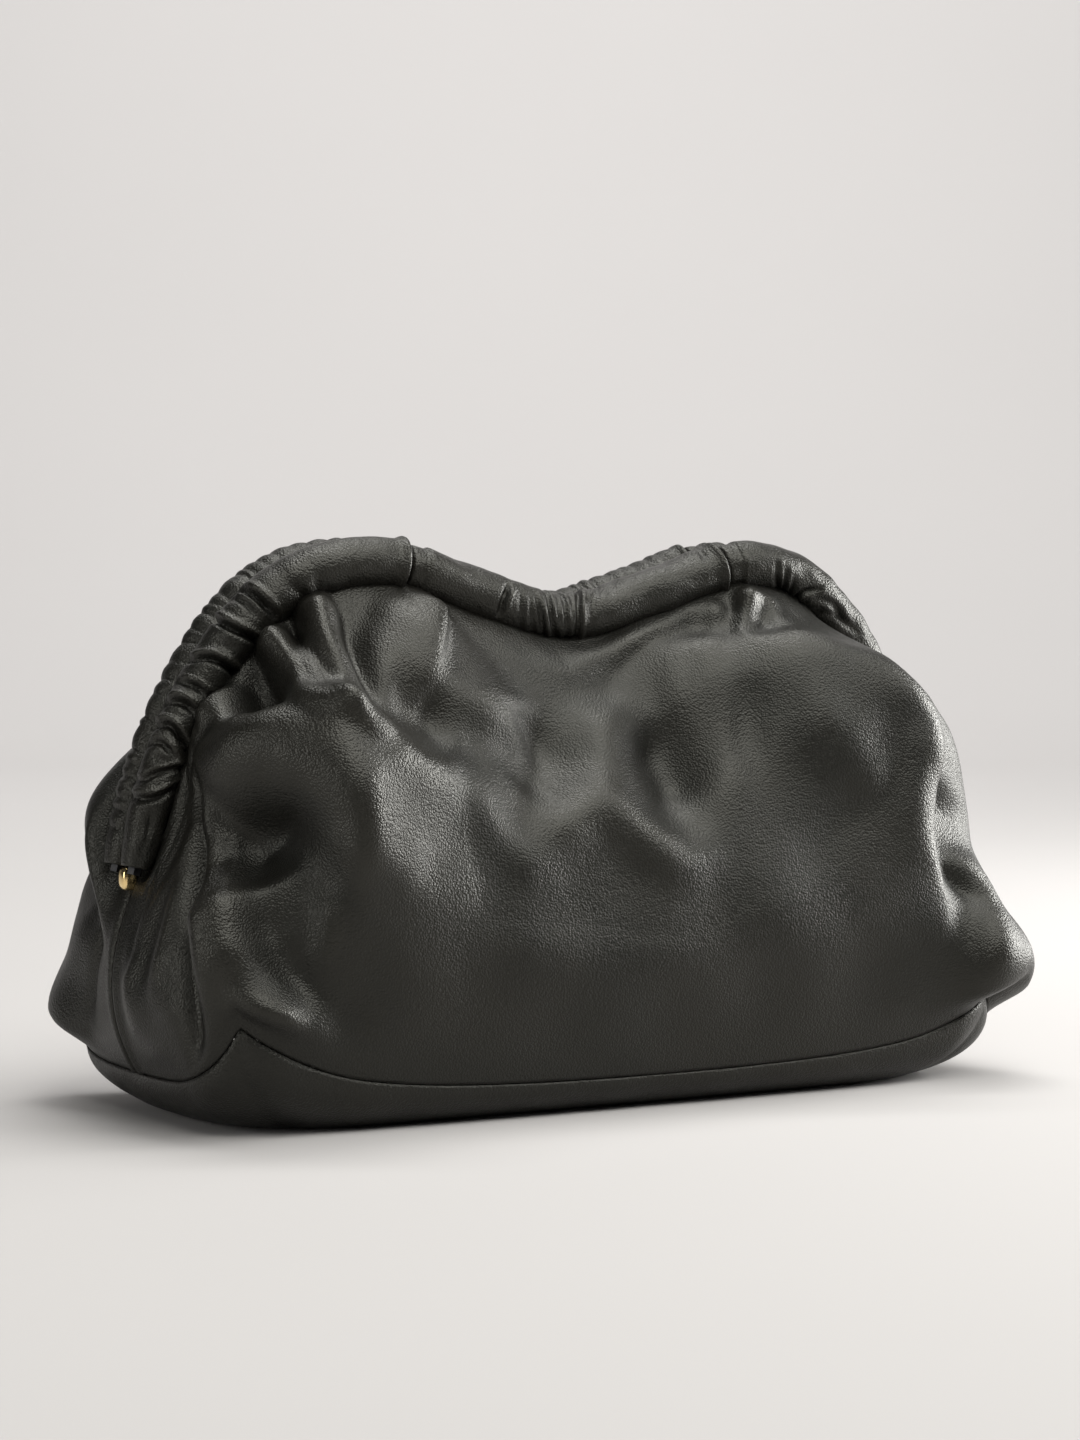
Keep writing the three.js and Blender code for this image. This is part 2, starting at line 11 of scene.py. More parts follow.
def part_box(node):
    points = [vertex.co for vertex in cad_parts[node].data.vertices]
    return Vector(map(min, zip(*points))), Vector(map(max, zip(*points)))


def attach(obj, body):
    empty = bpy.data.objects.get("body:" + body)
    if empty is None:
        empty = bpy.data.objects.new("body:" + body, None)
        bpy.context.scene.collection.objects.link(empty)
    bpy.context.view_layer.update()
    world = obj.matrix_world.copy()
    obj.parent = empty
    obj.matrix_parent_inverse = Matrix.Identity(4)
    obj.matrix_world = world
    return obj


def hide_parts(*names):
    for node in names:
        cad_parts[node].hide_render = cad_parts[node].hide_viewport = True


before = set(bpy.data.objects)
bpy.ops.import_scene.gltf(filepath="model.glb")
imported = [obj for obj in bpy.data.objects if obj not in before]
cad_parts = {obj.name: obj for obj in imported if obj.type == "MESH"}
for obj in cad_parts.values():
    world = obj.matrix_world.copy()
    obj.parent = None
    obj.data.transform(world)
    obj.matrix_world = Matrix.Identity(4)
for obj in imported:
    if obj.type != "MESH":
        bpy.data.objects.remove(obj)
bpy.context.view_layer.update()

# Sizes are in millimetres here and turned into metres when a mesh is made.
METRES = 0.001
low, high = (Vector(corner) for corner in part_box("base_panel"))
SHIFT = np.array([(low.x + high.x) / 2, (low.y + high.y) / 2, 0.0]) / METRES

FRONT = -1
BACK = 1

# Base: its outline, the smaller outline that it stands on, and its grid
BASE_WIDTH = 272
BASE_DEPTH = 112
BASE_CORNER = 20
END_INSET = 20
SIDE_INSET = 16
FOOT_CORNER = 38
BASE_COLUMNS = 360
BASE_RIM_ROWS = 22
BASE_FLOOR_ROWS = 14
BASE_WAVE = 26.0
BASE_WAVE_HEIGHT = 0.5

# Seam round the base: its height, its rise towards the ends, and the points at the corners
SEAM_HEIGHT = 10
END_SEAM_RISE = 4
END_SEAM_SPAN = (0.1, 0.25)
CORNER_PEAK = 19
RIGHT_PEAK = 14
PEAK_TURN = 0.29
PEAK_REACH = 30
PEAK_END_REACH = 9
SEAM_GAP = 0.3

# Bows: half their width, the hinges' height, the humps' rise above it, the gap between the rolls
FRAME_HALF = 139
HINGE_HEIGHT = 74.5
HUMP_RISE = 85.5
MOUTH = 5
END_MOUTH = 1.5
MOUTH_SPAN = (0.45, 0.95)
BOW_STEPS = 265
BOW_DIP = 0.49

# Rolls: radius, taper, bore, the joins between their lengths, and how far their tips stand past the bow
ROLL_RADIUS = 7.2
ROLL_END_RADIUS = 5.4
ROLL_TAPER = (0.7, 1)
BORE = 2.7
JOIN = 0.4 * FRAME_HALF
ROLL_TIP = 3.4
ROLL_STEP = 0.55
ROLL_SIDES = 72
BORE_STEP = 5

# Leather of the rolls: padding, swell where it is gathered, waves (length, height, more where gathered) and
# how much of it is rubbed like a crest
PADDING = 0.5
GATHER_SWELL = 0.8
GATHER_SPAN = (0.2, 1.5)
ROLL_WAVE = (15.0, 0.3, 0.4)
ROLL_FINE_WAVE = (7.0, 0.12)
ROLL_WAVE_TURN = 9.0
ROLL_CREST = 0.4
ROLL_CREST_GAIN = 1.6

# Joins of the rolls: the dip at a join, the thinner length past it, and the lip before it
JOIN_DIP = 0.8
JOIN_DIP_WIDTH = 0.5
SLEEVE = 0.8
SLEEVE_SPAN = (5.0, 6.2)
JOIN_LIP = 1.2
JOIN_LIP_PLACE = 1.4
JOIN_LIP_WIDTH = 1.5

# Rounding of a roll's ends: length and drop, at the tips and at the joins
TIP_ROUND = (26.0, 2.9)
JOIN_ROUND = (1.6, 1.4)

# Walls: thickness, and their height when they are laid out flat
LEATHER = 1.8
SHEET_TALL = HINGE_HEIGHT + HUMP_RISE / 2

# Where the walls meet the roll: room at the ends, angle from straight below, and the tuck under the roll
END_ROOM = 2.4
END_ROOM_SPAN = (0.04, 0.12)
END_SWING = 0.9
MIDDLE_SWING = 0.55
SWING_SPAN = (0.06, 0.25)
ROLL_CLEARANCE = 0.15
TOP_TUCK = 1.2

# Body of the walls: how they lean in, bulge and billow
MIDDLE_SPAN = (0.1, 0.3)
END_CLOSING = 0.04
LEAN = 1.5
MIDDLE_LEAN = 1.1
PEAK_FADE = 2.5
END_BULGE = 8.5
SIDE_BULGE = 7.5
BULGE_LOW = 0.85
BILLOW = 0.8

# Surface of the walls: waves, the gathers that run down from the roll, and the crests that are rubbed
BROAD_WAVE = 38.0
BROAD_WAVE_HEIGHT = 0.6
FINE_WAVE = 13.0
FINE_WAVE_HEIGHT = 0.15
GATHER_REACH = 5.0
CREST_REACH = 9
CREST_HEIGHT = 1.6

# Raised edge along the end seams: height, distance from the seam, width
SEAM_EDGE = 0.9
SEAM_EDGE_PLACE = 2.2
SEAM_EDGE_WIDTH = 1.3

# Settling of the walls as cloth: spare leather, steps, the furthest that a point moves, and the pinned edges
CLOTH_GROWTH = 0.008
CLOTH_FRAMES = 25
CLOTH_CAP = 2.5
PIN_ENDS = 5.0
PIN_FOOT = 4.0
PIN_TOP = 3.0

# Brass tongues, in metres: how far they stand past the solids and how low, and how square they are
TONGUE_PROUD_X = 0.0006
TONGUE_PROUD_Z = 0.0009
TONGUE_HALF_DEPTH = 0.00245
TONGUE_DROP = 0.0006
TONGUE_SQUARE = 0.55
TONGUE_SQUARE_Z = 0.7

# Steps of the curves, the points that are searched at once, and how close in metres points are to be
# merged
CORNER_STEPS = 16
FOLD_STEPS = 18
BATCH = 4000
MERGE_REACH = 0.00002

# Camera: place in millimetres, lens, turn from square on and dip in degrees
CAMERA_PLACE = (-514.3, -885.9, 149.0)
CAMERA_LENS = 83.6
VIEW_TURN = -30
CAMERA_DIP = 2.02

# Paper sweep, in metres: where it starts, its flat part, its bend, its length and width
SWEEP_FRONT = -2.6
SWEEP_FLOOR = 4.6
SWEEP_BEND = 1.4
SWEEP_LENGTH = 8.4
SWEEP_WIDTH = 10.0

# The bow from its middle to its ends: up, left across, right across.
BOW = [
    (0.815, 0.0, 0.0),
    (0.89, 0.2, 0.2),
    (0.992, 0.4, 0.4),
    (1.0, 0.53, 0.52),
    (0.95, 0.64, 0.62),
    (0.85, 0.73, 0.7),
    (0.7, 0.81, 0.785),
    (0.52, 0.885, 0.865),
    (0.31, 0.945, 0.935),
    (0.13, 0.98, 0.978),
    (0.0, 1.0, 1.0),
]

# Soft swellings of the walls: side, along, up, reach along, reach up, out.
SWELLINGS = [
    (FRONT, 0.855, 0.12, 20, 20, 11.9),
    (FRONT, 0.79, 0.81, 40, 26, 17.0),
    (FRONT, 0.2, 0.62, 30, 26, 4.2),
    (BACK, 0.14, 0.03, 20, 18, 10.2),
    (BACK, 0.1, 0.74, 30, 20, 9.3),
    (BACK, 0.86, 0.08, 20, 22, 8.9),
]

# Folds of the front wall: profile, half width, height, lean, and the places that the fold passes, as
# shares along and up the wall. Lean pushes the crest towards the left of the way the fold runs.
FRONT_FOLDS = [
    # fingers under the left hump, joined at their ends, with the valleys beside them
    ("sausage", 6.2, 11.0, 0, [(0.246, 1.20), (0.256, 0.97), (0.254, 0.88), (0.257, 0.79), (0.264, 0.71)]),
    ("sausage", 5.2, 10.5, 0, [(0.186, 1.14), (0.212, 0.97), (0.224, 0.88), (0.232, 0.78), (0.246, 0.74)]),
    ("ridge", 4.2, 4.0, 0, [(0.235, 0.75), (0.248, 0.72), (0.265, 0.74)]),
    ("crease", 3.6, -8.0, 0, [(0.222, 1.15), (0.235, 0.98), (0.237, 0.91), (0.242, 0.84), (0.248, 0.77)]),
    ("hollow", 2.6, -6.0, 0, [(0.228, 1.00), (0.229, 0.97)]),
    ("hollow", 5.0, -8.0, 0, [(0.176, 1.00), (0.182, 0.92), (0.211, 0.82), (0.225, 0.78)]),
    ("hollow", 3.4, -3.5, 0, [(0.277, 0.97), (0.278, 0.87), (0.279, 0.80), (0.278, 0.71)]),
    # flat pleat right of the fingers
    ("ridge", 12.0, 2.5, 0, [(0.339, 0.97), (0.318, 0.88), (0.304, 0.81)]),
    ("hollow", 4.0, -2.8, 0, [(0.314, 0.98), (0.294, 0.92), (0.280, 0.88)]),
    ("lip", 6.0, 6.0, 1.2, [(0.380, 1.15), (0.374, 1.00), (0.367, 0.94), (0.350, 0.87), (0.334, 0.79)]),
    # long lip across the left shoulder, its lobe and its pocket
    ("sausage", 5.6, 5.0, 0, [(0.118, 0.95), (0.127, 0.99), (0.157, 0.93), (0.176, 0.86)]),
    ("hollow", 4.0, -4.0, 0, [(0.170, 0.92), (0.187, 0.86), (0.188, 0.82)]),
    ("lip", 11.0, 8.5, 1.0, [(0.145, 0.84), (0.170, 0.81), (0.191, 0.79), (0.211, 0.78), (0.225, 0.76),
        (0.239, 0.73), (0.258, 0.69), (0.275, 0.67)]),
    ("ridge", 9.0, 4.8, 0, [(0.251, 0.69), (0.274, 0.66), (0.298, 0.65), (0.321, 0.63), (0.350, 0.60)]),
    ("hollow", 8.0, -8.0, 0, [(0.285, 0.74), (0.301, 0.72), (0.329, 0.71), (0.350, 0.68)]),
    ("ridge", 6.0, 2.6, 0, [(0.296, 0.81), (0.329, 0.79), (0.359, 0.78), (0.390, 0.77), (0.414, 0.75),
        (0.412, 0.69), (0.393, 0.59)]),
    # long hollows of the middle
    ("hollow", 9.5, -8.5, 0, [(0.443, 0.84), (0.446, 0.79), (0.436, 0.72), (0.419, 0.65), (0.404, 0.57)]),
    ("hollow", 8.8, -9.0, 0, [(0.537, 0.81), (0.544, 0.73), (0.554, 0.64), (0.563, 0.56)]),
    ("ridge", 10.0, 1.6, 0, [(0.505, 0.89), (0.496, 0.78), (0.485, 0.68), (0.467, 0.60)]),
    # festoons that end them
    ("ridge", 7.5, 4.0, 0, [(0.356, 0.60), (0.367, 0.52), (0.386, 0.48), (0.400, 0.47), (0.428, 0.54),
        (0.465, 0.61), (0.491, 0.57), (0.515, 0.52), (0.539, 0.48), (0.562, 0.49), (0.585, 0.55),
        (0.603, 0.60)]),
    # right shoulder
    ("hollow", 10.0, -2.0, 0, [(0.608, 0.73), (0.647, 0.69)]),
    ("ridge", 8.0, 2.8, 0, [(0.646, 0.68), (0.684, 0.68), (0.706, 0.65), (0.716, 0.61), (0.736, 0.57),
        (0.755, 0.55)]),
    ("hollow", 11.0, -1.2, 0, [(0.689, 0.59), (0.706, 0.53), (0.722, 0.46)]),
    ("lip", 9.0, 5.5, 1.0, [(0.534, 0.88), (0.555, 0.91), (0.598, 0.90), (0.642, 0.87), (0.690, 0.84),
        (0.711, 0.83), (0.729, 0.81), (0.751, 0.80)]),
    ("ridge", 3.6, 5.0, 0, [(0.503, 0.94), (0.535, 0.96), (0.576, 0.98), (0.617, 0.99), (0.631, 0.97),
        (0.637, 0.93), (0.645, 0.92), (0.656, 0.93)]),
    ("ridge", 5.5, 7.0, 0, [(0.637, 0.95), (0.666, 0.97), (0.683, 0.95), (0.694, 0.89)]),
    ("crease", 3.0, -7.0, 0, [(0.644, 0.98), (0.650, 0.96), (0.659, 0.95)]),
    ("ridge", 3.0, 5.0, 0, [(0.654, 0.96), (0.670, 0.96), (0.684, 0.96)]),
    ("hollow", 5.0, -6.0, 0, [(0.670, 0.95), (0.687, 0.93)]),
    ("hollow", 5.0, -3.0, 0, [(0.627, 0.93), (0.647, 0.90)]),
    # broad left shoulder
    ("ridge", 20.0, 6.5, 0, [(0.217, 0.72), (0.246, 0.65), (0.278, 0.60), (0.308, 0.57), (0.331, 0.52)]),
    ("hollow", 13.0, -2.0, 0, [(0.317, 0.59), (0.338, 0.53), (0.367, 0.46), (0.396, 0.43)]),
    # big hollow at the left, the leather that hangs over it and its rim
    ("lip", 17.0, -13.5, 0, [(0.130, 0.79), (0.160, 0.69), (0.180, 0.64), (0.198, 0.58), (0.210, 0.51),
        (0.210, 0.45)]),
    ("lip", 9.0, 8.0, 1.2, [(0.222, 0.52), (0.214, 0.59), (0.202, 0.63), (0.181, 0.68), (0.162, 0.71),
        (0.147, 0.77), (0.130, 0.87)]),
    ("ridge", 10.0, 6.0, 0, [(0.237, 0.66), (0.241, 0.58), (0.239, 0.48), (0.229, 0.39)]),
    ("hollow", 14.0, -5.5, 0, [(0.141, 0.66), (0.158, 0.59), (0.171, 0.51)]),
    ("hollow", 6.5, -5.5, 0, [(0.159, 0.47), (0.168, 0.35), (0.181, 0.27), (0.201, 0.20), (0.225, 0.15)]),
    ("ridge", 5.0, 2.5, 0, [(0.149, 0.47), (0.156, 0.35), (0.167, 0.23)]),
    # turn of the right corner
    ("lip", 7.0, 5.0, 1.5, [(0.778, 0.78), (0.794, 0.72), (0.789, 0.62), (0.779, 0.47), (0.782, 0.40),
        (0.788, 0.32)]),
    ("hollow", 10.0, -7.0, 0, [(0.822, 0.66), (0.812, 0.53), (0.815, 0.43)]),
    ("ridge", 5.0, 4.0, 0, [(0.814, 0.50), (0.835, 0.40), (0.831, 0.27), (0.825, 0.16), (0.822, 0.07)]),
    ("crease", 3.5, -3.5, 0, [(0.792, 0.45), (0.811, 0.39), (0.829, 0.32)]),
    ("hollow", 12.0, -5.0, 0, [(0.885, 0.66), (0.920, 0.50), (0.925, 0.34)]),
    # ridges of the left end
    ("ridge", 5.0, 3.5, 0, [(0.113, 0.70), (0.108, 0.57), (0.099, 0.47), (0.085, 0.32), (0.093, 0.21)]),
    ("tuck", 2.8, -7.5, 0, [(0.120, 0.84), (0.118, 0.61), (0.120, 0.38), (0.120, 0.22), (0.117, 0.07),
        (0.105, 0.00)]),
    ("ridge", 6.0, 7.5, 0, [(0.133, 0.72), (0.141, 0.55), (0.142, 0.39), (0.146, 0.22), (0.156, 0.13)]),
    ("ridge", 6.0, 4.0, 0, [(0.152, 0.12), (0.172, 0.12), (0.199, 0.10)]),
    ("ridge", 9.0, 3.5, 0, [(0.028, 0.52), (0.042, 0.30), (0.058, 0.13)]),
    ("crease", 3.0, -3.0, 0, [(0.027, 0.79), (0.024, 0.63), (0.032, 0.43)]),
]

# Folds of the back wall, in the same columns.
BACK_FOLDS = [
    ("sausage", 7.0, 4.5, 0, [(0.18, 0.97), (0.22, 0.82), (0.25, 0.68)]),
    ("hollow", 9.0, -4.5, 0, [(0.27, 0.97), (0.29, 0.84), (0.3, 0.7)]),
    ("ridge", 10.0, 5.5, 0, [(0.36, 0.97), (0.37, 0.82), (0.4, 0.66)]),
    ("hollow", 12.0, -6.0, 0, [(0.47, 0.9), (0.46, 0.74), (0.43, 0.58)]),
    ("ridge", 11.0, 5.0, 0, [(0.53, 0.95), (0.55, 0.76), (0.6, 0.6)]),
    ("hollow", 11.0, -5.0, 0, [(0.63, 0.97), (0.66, 0.8), (0.66, 0.62)]),
    ("ridge", 10.0, 5.5, 0, [(0.73, 0.97), (0.74, 0.84), (0.71, 0.68)]),
    ("hollow", 10.0, -4.5, 0, [(0.82, 0.92), (0.8, 0.76), (0.77, 0.6)]),
    ("ridge", 8.0, 4.0, 0, [(0.86, 0.68), (0.84, 0.44), (0.82, 0.2)]),
    ("ridge", 8.0, 4.0, 0, [(0.14, 0.72), (0.16, 0.46), (0.18, 0.22)]),
    ("hollow", 11.0, -6.0, 0, [(0.05, 0.52), (0.1, 0.54), (0.16, 0.52)]),
    ("crease", 4.0, -4.0, 0, [(0.05, 0.62), (0.06, 0.34), (0.07, 0.1)]),
    ("crease", 4.0, -3.5, 0, [(0.93, 0.7), (0.92, 0.4), (0.92, 0.12)]),
    ("hollow", 12.0, -4.0, 0, [(0.93, 0.62), (0.94, 0.48), (0.94, 0.34)]),
    ("lip", 8.0, 3.5, 2.0, [(0.6, 0.86), (0.5, 0.83), (0.4, 0.87)]),
    ("ridge", 9.0, 3.0, 0, [(0.3, 0.56), (0.45, 0.48), (0.6, 0.54)]),
]

# Folds of the front rolls, in the same columns, as shares along the bow and round the roll from its top.
ROLL_FOLDS = [
    # sausage above the left shoulder, with the dimple that gathers it
    ("crease", 2.2, -2.0, 0, [(0.269, 0.75), (0.263, 0.55)]),
    ("crease", 2.0, -1.8, 0, [(0.246, 0.79), (0.254, 0.61)]),
    ("tuck", 1.2, -5.7, 0, [(0.219, 1.02), (0.220, 0.85), (0.221, 0.68)]),
    ("tuck", 0.8, -3.0, 0, [(0.210, 1.03), (0.212, 0.88), (0.210, 0.75)]),
    # pleats down the left shoulder
    ("tuck", 1.1, -5.7, 0, [(0.191, 1.18), (0.191, 1.04), (0.191, 0.84), (0.197, 0.62), (0.197, 0.50)]),
    ("crease", 1.6, -1.8, 0, [(0.176, 0.92), (0.178, 0.75)]),
    ("tuck", 1.1, -5.4, 0, [(0.156, 1.12), (0.156, 0.98), (0.164, 0.82), (0.166, 0.57), (0.166, 0.45)]),
    ("tuck", 0.9, -3.9, 0, [(0.137, 1.00), (0.139, 0.84), (0.138, 0.69)]),
    ("tuck", 1.2, -5.4, 0, [(0.119, 1.04), (0.124, 0.88), (0.122, 0.72)]),
    ("tuck", 1.1, -5.4, 0, [(0.102, 1.18), (0.102, 1.04), (0.105, 0.87), (0.093, 0.63), (0.093, 0.51)]),
    ("tuck", 0.9, -3.9, 0, [(0.087, 1.04), (0.091, 0.90), (0.084, 0.73)]),
    ("crease", 0.8, -2.4, 0, [(0.079, 0.94), (0.079, 0.75)]),
    ("tuck", 0.9, -3.6, 0, [(0.061, 1.09), (0.061, 0.95), (0.069, 0.83), (0.079, 0.65), (0.079, 0.53)]),
    ("tuck", 1.0, -4.5, 0, [(0.048, 1.10), (0.048, 0.96), (0.051, 0.79), (0.069, 0.57), (0.069, 0.45)]),
    ("crease", 2.0, -2.4, 0, [(0.040, 0.80), (0.023, 0.77), (0.004, 0.81)]),
    # pleats of the middle dip
    ("tuck", 0.9, -4.5, 0, [(0.438, 0.87), (0.435, 0.75), (0.436, 0.65)]),
    ("crease", 0.8, -1.8, 0, [(0.448, 0.85), (0.453, 0.71), (0.462, 0.55)]),
    ("crease", 0.9, -2.0, 0, [(0.457, 0.85), (0.462, 0.72), (0.479, 0.50)]),
    ("tuck", 0.8, -2.8, 0, [(0.462, 0.87), (0.468, 0.76), (0.488, 0.50)]),
    ("tuck", 0.8, -2.8, 0, [(0.477, 1.03), (0.477, 0.89), (0.479, 0.75), (0.497, 0.50), (0.497, 0.38)]),
    ("crease", 0.6, -1.8, 0, [(0.487, 1.04), (0.487, 0.90), (0.485, 0.75), (0.500, 0.51), (0.500, 0.39)]),
    ("tuck", 0.7, -2.4, 0, [(0.494, 1.05), (0.494, 0.91), (0.493, 0.76), (0.503, 0.51), (0.503, 0.39)]),
    ("crease", 0.6, -1.8, 0, [(0.503, 1.05), (0.503, 0.91), (0.498, 0.76), (0.505, 0.51), (0.505, 0.39)]),
    ("tuck", 0.9, -3.3, 0, [(0.518, 1.14), (0.518, 1.00), (0.505, 0.79), (0.508, 0.51), (0.508, 0.39)]),
    ("crease", 1.4, -1.2, 0, [(0.537, 1.12), (0.537, 0.98), (0.521, 0.82), (0.514, 0.66), (0.514, 0.54)]),
    ("crease", 1.6, -1.0, 0, [(0.557, 1.02), (0.538, 0.83)]),
    # creases near the join on the right, and the pull down to the right end
    ("crease", 0.9, -1.8, 0, [(0.640, 0.98), (0.637, 0.86)]),
    ("tuck", 0.9, -2.8, 0, [(0.700, 0.77), (0.705, 0.66), (0.728, 0.48)]),
    ("tuck", 0.8, -3.0, 0, [(0.710, 0.74), (0.715, 0.64), (0.734, 0.46)]),
    ("crease", 0.7, -2.4, 0, [(0.720, 0.70), (0.725, 0.60), (0.740, 0.46)]),
    ("tuck", 1.0, -3.9, 0, [(0.749, 0.74), (0.736, 0.63), (0.745, 0.46)]),
    ("crease", 1.0, -3.3, 0, [(0.789, 0.73), (0.770, 0.74), (0.751, 0.68)]),
    ("crease", 1.6, -2.7, 0, [(0.805, 0.76), (0.781, 0.71), (0.765, 0.63)]),
]

# Gathered stretches of the back rolls: start and end as shares of the bow, pitch, depth, sway, crease width.
BACK_GATHERS = [
    (0.02, 0.42, 4.6, 1.5, 1.2, 0.8),
    (0.44, 0.8, 5.4, 1.2, 1.2, 0.8),
    (0.82, 0.98, 5.2, 1.5, 1.2, 0.8),
]


def smooth(start, end, value):
    """A soft step from 0 at the start to 1 at the end."""
    share = np.clip((value - start) / (end - start), 0, 1)
    return share * share * (3 - 2 * share)


def unit(vectors):
    return vectors / np.maximum(np.linalg.norm(vectors, axis=-1, keepdims=True), 1e-9)


class Path:
    """A polyline read by the share of its length."""

    def __init__(self, points):
        self.points = np.array(points, float)
        steps = np.linalg.norm(np.diff(self.points, axis=0), axis=1)
        self.lengths = np.concatenate([[0], np.cumsum(steps)])
        self.total = self.lengths[-1]

    def at(self, share):
        """Places at the given shares of the length."""
        target = np.clip(share, 0, 1) * self.total
        return np.stack([np.interp(target, self.lengths, self.points[:, k]) for k in range(3)], axis=-1)

    def along(self, share, step=0.004):
        """Directions of the line at the given shares of its length."""
        return unit(self.at(np.asarray(share) + step) - self.at(np.asarray(share) - step))

    def nearest(self, places):
        """The nearest point of the line to each place, found a batch at a time."""
        flat = places.reshape(-1, 3)
        best = np.empty(len(flat), int)
        for first in range(0, len(flat), BATCH):
            part = flat[first:first + BATCH]
            apart = ((part[:, None, :] - self.points[None, :, :]) ** 2).sum(axis=2)
            best[first:first + BATCH] = apart.argmin(axis=1)
        return self.points[best].reshape(places.shape)


def cubic(before, start, end, after, t):
    """Values between start and end on a smooth curve that also passes before and after."""
    out, into = (end - before) / 2, (after - start) / 2
    return ((2 * start - 2 * end + out + into) * t ** 3
            + (3 * end - 3 * start - 2 * out - into) * t ** 2 + out * t + start)


def rounded_curve(knots, steps):
    """Points on a smooth curve through the knots."""
    knots = np.array(knots, float)
    padded = np.vstack([2 * knots[0] - knots[1], knots, 2 * knots[-1] - knots[-2]])
    share = np.linspace(0, len(knots) - 1, steps)
    span = np.minimum(share.astype(int), len(knots) - 2)
    t = (share - span)[:, None]
    before, start, end, after = (padded[span + k] for k in range(4))
    return cubic(before, start, end, after, t)


def roll_radius(across):
    return ROLL_RADIUS + (ROLL_END_RADIUS - ROLL_RADIUS) * smooth(*ROLL_TAPER, across)


def bow_path(side):
    """The centre line of a bow and of the roll round it."""
    left = [(-a * FRAME_HALF, 0, up * HUMP_RISE + HINGE_HEIGHT) for up, a, _ in BOW[:0:-1]]
    right = [(a * FRAME_HALF, 0, up * HUMP_RISE + HINGE_HEIGHT) for up, _, a in BOW]
    points = rounded_curve(left + right, BOW_STEPS)
    across = np.abs(points[:, 0]) / FRAME_HALF
    middle = ROLL_RADIUS + MOUTH / 2
    end = ROLL_END_RADIUS + END_MOUTH / 2
    points[:, 1] = side * (middle + (end - middle) * smooth(*MOUTH_SPAN, across))
    return Path(points)


def plan_path(side, width, depth, corner):
    """Half of a rounded rectangle, from its left end round one side to its right end."""
    points = [(-width / 2, side * SEAM_GAP / 2, 0)]
    for k in range(CORNER_STEPS + 1):
        turn = math.pi / 2 * k / CORNER_STEPS
        points.append((
            -width / 2 + corner - corner * math.cos(turn),
            side * (depth / 2 - corner + corner * math.sin(turn)),
            0,
        ))
    return Path(points + [(-x, y, 0) for x, y, _ in reversed(points)])


bows = {side: bow_path(side) for side in (FRONT, BACK)}
seams = {side: plan_path(side, BASE_WIDTH, BASE_DEPTH, BASE_CORNER) for side in (FRONT, BACK)}
SHEET_LONG = seams[FRONT].total
corner_along = (BASE_DEPTH / 2 - BASE_CORNER + BASE_CORNER * math.pi * PEAK_TURN) / SHEET_LONG


def seam_height(share):
    """Height of the seam round the base, and of the points at its corners."""
    def peak(centre, height, inward):
        away = (share - centre) * SHEET_LONG * inward
        return height * np.exp(-np.abs(away) / np.where(away > 0, PEAK_REACH, PEAK_END_REACH))

    end = END_SEAM_RISE * (1 - smooth(*END_SEAM_SPAN, np.minimum(share, 1 - share)))
    return SEAM_HEIGHT + end, peak(corner_along, CORNER_PEAK, 1) + peak(1 - corner_along, RIGHT_PEAK, -1)


def seam_inward(side, share):
    """Level direction from the seam to the inside of the bag."""
    heading = seams[side].along(share, 0.01)
    inward = np.stack([side * heading[..., 1], -side * heading[..., 0], 0 * heading[..., 0]], axis=-1)
    ends = (share <= 0) | (share >= 1)
    inward[..., 1] = np.where(ends, 0, inward[..., 1])
    return unit(inward)


def swelling(side, along, up):
    """How far the soft swellings push a wall out."""
    out = np.zeros_like(along)
    for where, a, b, reach_along, reach_up, rise in SWELLINGS:
        if where == side:
            x = (along - a) * SHEET_LONG / reach_along
            y = (up - b) * SHEET_TALL / reach_up
            out += rise * np.exp(-x * x - y * y)
    ends = smooth(0, END_CLOSING, np.minimum(along, 1 - along))
    return out * smooth(0, 0.08, up) * smooth(0, 0.2, 1 - up) * ends


def wall_shape(side, along, up):
    """The wall without its folds."""
    foot = seams[side].at(along)
    inward = seam_inward(side, along)
    foot_height, peak = seam_height(along)
    bow = bows[side].at(along)
    run = bows[side].along(along)
    flat = np.hypot(run[..., 0], run[..., 2])
    ends = np.minimum(along, 1 - along)
    room = END_ROOM * (1 - smooth(*END_ROOM_SPAN, ends))
    clearance = roll_radius(np.abs(bow[..., 0]) / FRAME_HALF) + room
    swing = END_SWING + (MIDDLE_SWING - END_SWING) * smooth(*SWING_SPAN, ends)
    top_x = bow[..., 0] + run[..., 2] / flat * clearance * np.cos(swing)
    top_y = bow[..., 1] + side * clearance * np.sin(swing)
    top_z = bow[..., 2] - run[..., 0] / flat * clearance * np.cos(swing)
    middle = smooth(*MIDDLE_SPAN, ends)
    lean = up ** (LEAN + MIDDLE_LEAN * middle)
    bulge = END_BULGE + (SIDE_BULGE - END_BULGE) * middle
    out = bulge * np.sin(math.pi * up ** BULGE_LOW) + swelling(side, along, up)
    closing = smooth(0, END_CLOSING, ends)
    outward = unit(np.stack([
        -inward[..., 0] - run[..., 2] / flat * BILLOW * up,
        -inward[..., 1] * closing,
        run[..., 0] / flat * BILLOW * up,
    ], axis=-1))
    place = np.stack([
        foot[..., 0] + (top_x - foot[..., 0]) * lean,
        foot[..., 1] + (top_y - foot[..., 1]) * lean * closing,
        foot_height + (top_z - foot_height) * up + peak * (1 - up) ** PEAK_FADE,
    ], axis=-1)
    return place + outward * out[..., None]


def clear_of_roll(side, places, room):
    """Moves places out of the roll, to leave room round it."""
    axis = bows[side].nearest(places)
    away = places - axis
    reach = np.linalg.norm(away, axis=-1)
    needed = roll_radius(np.abs(axis[..., 0]) / FRAME_HALF) + room
    return axis + unit(away) * np.maximum(reach, needed)[..., None]


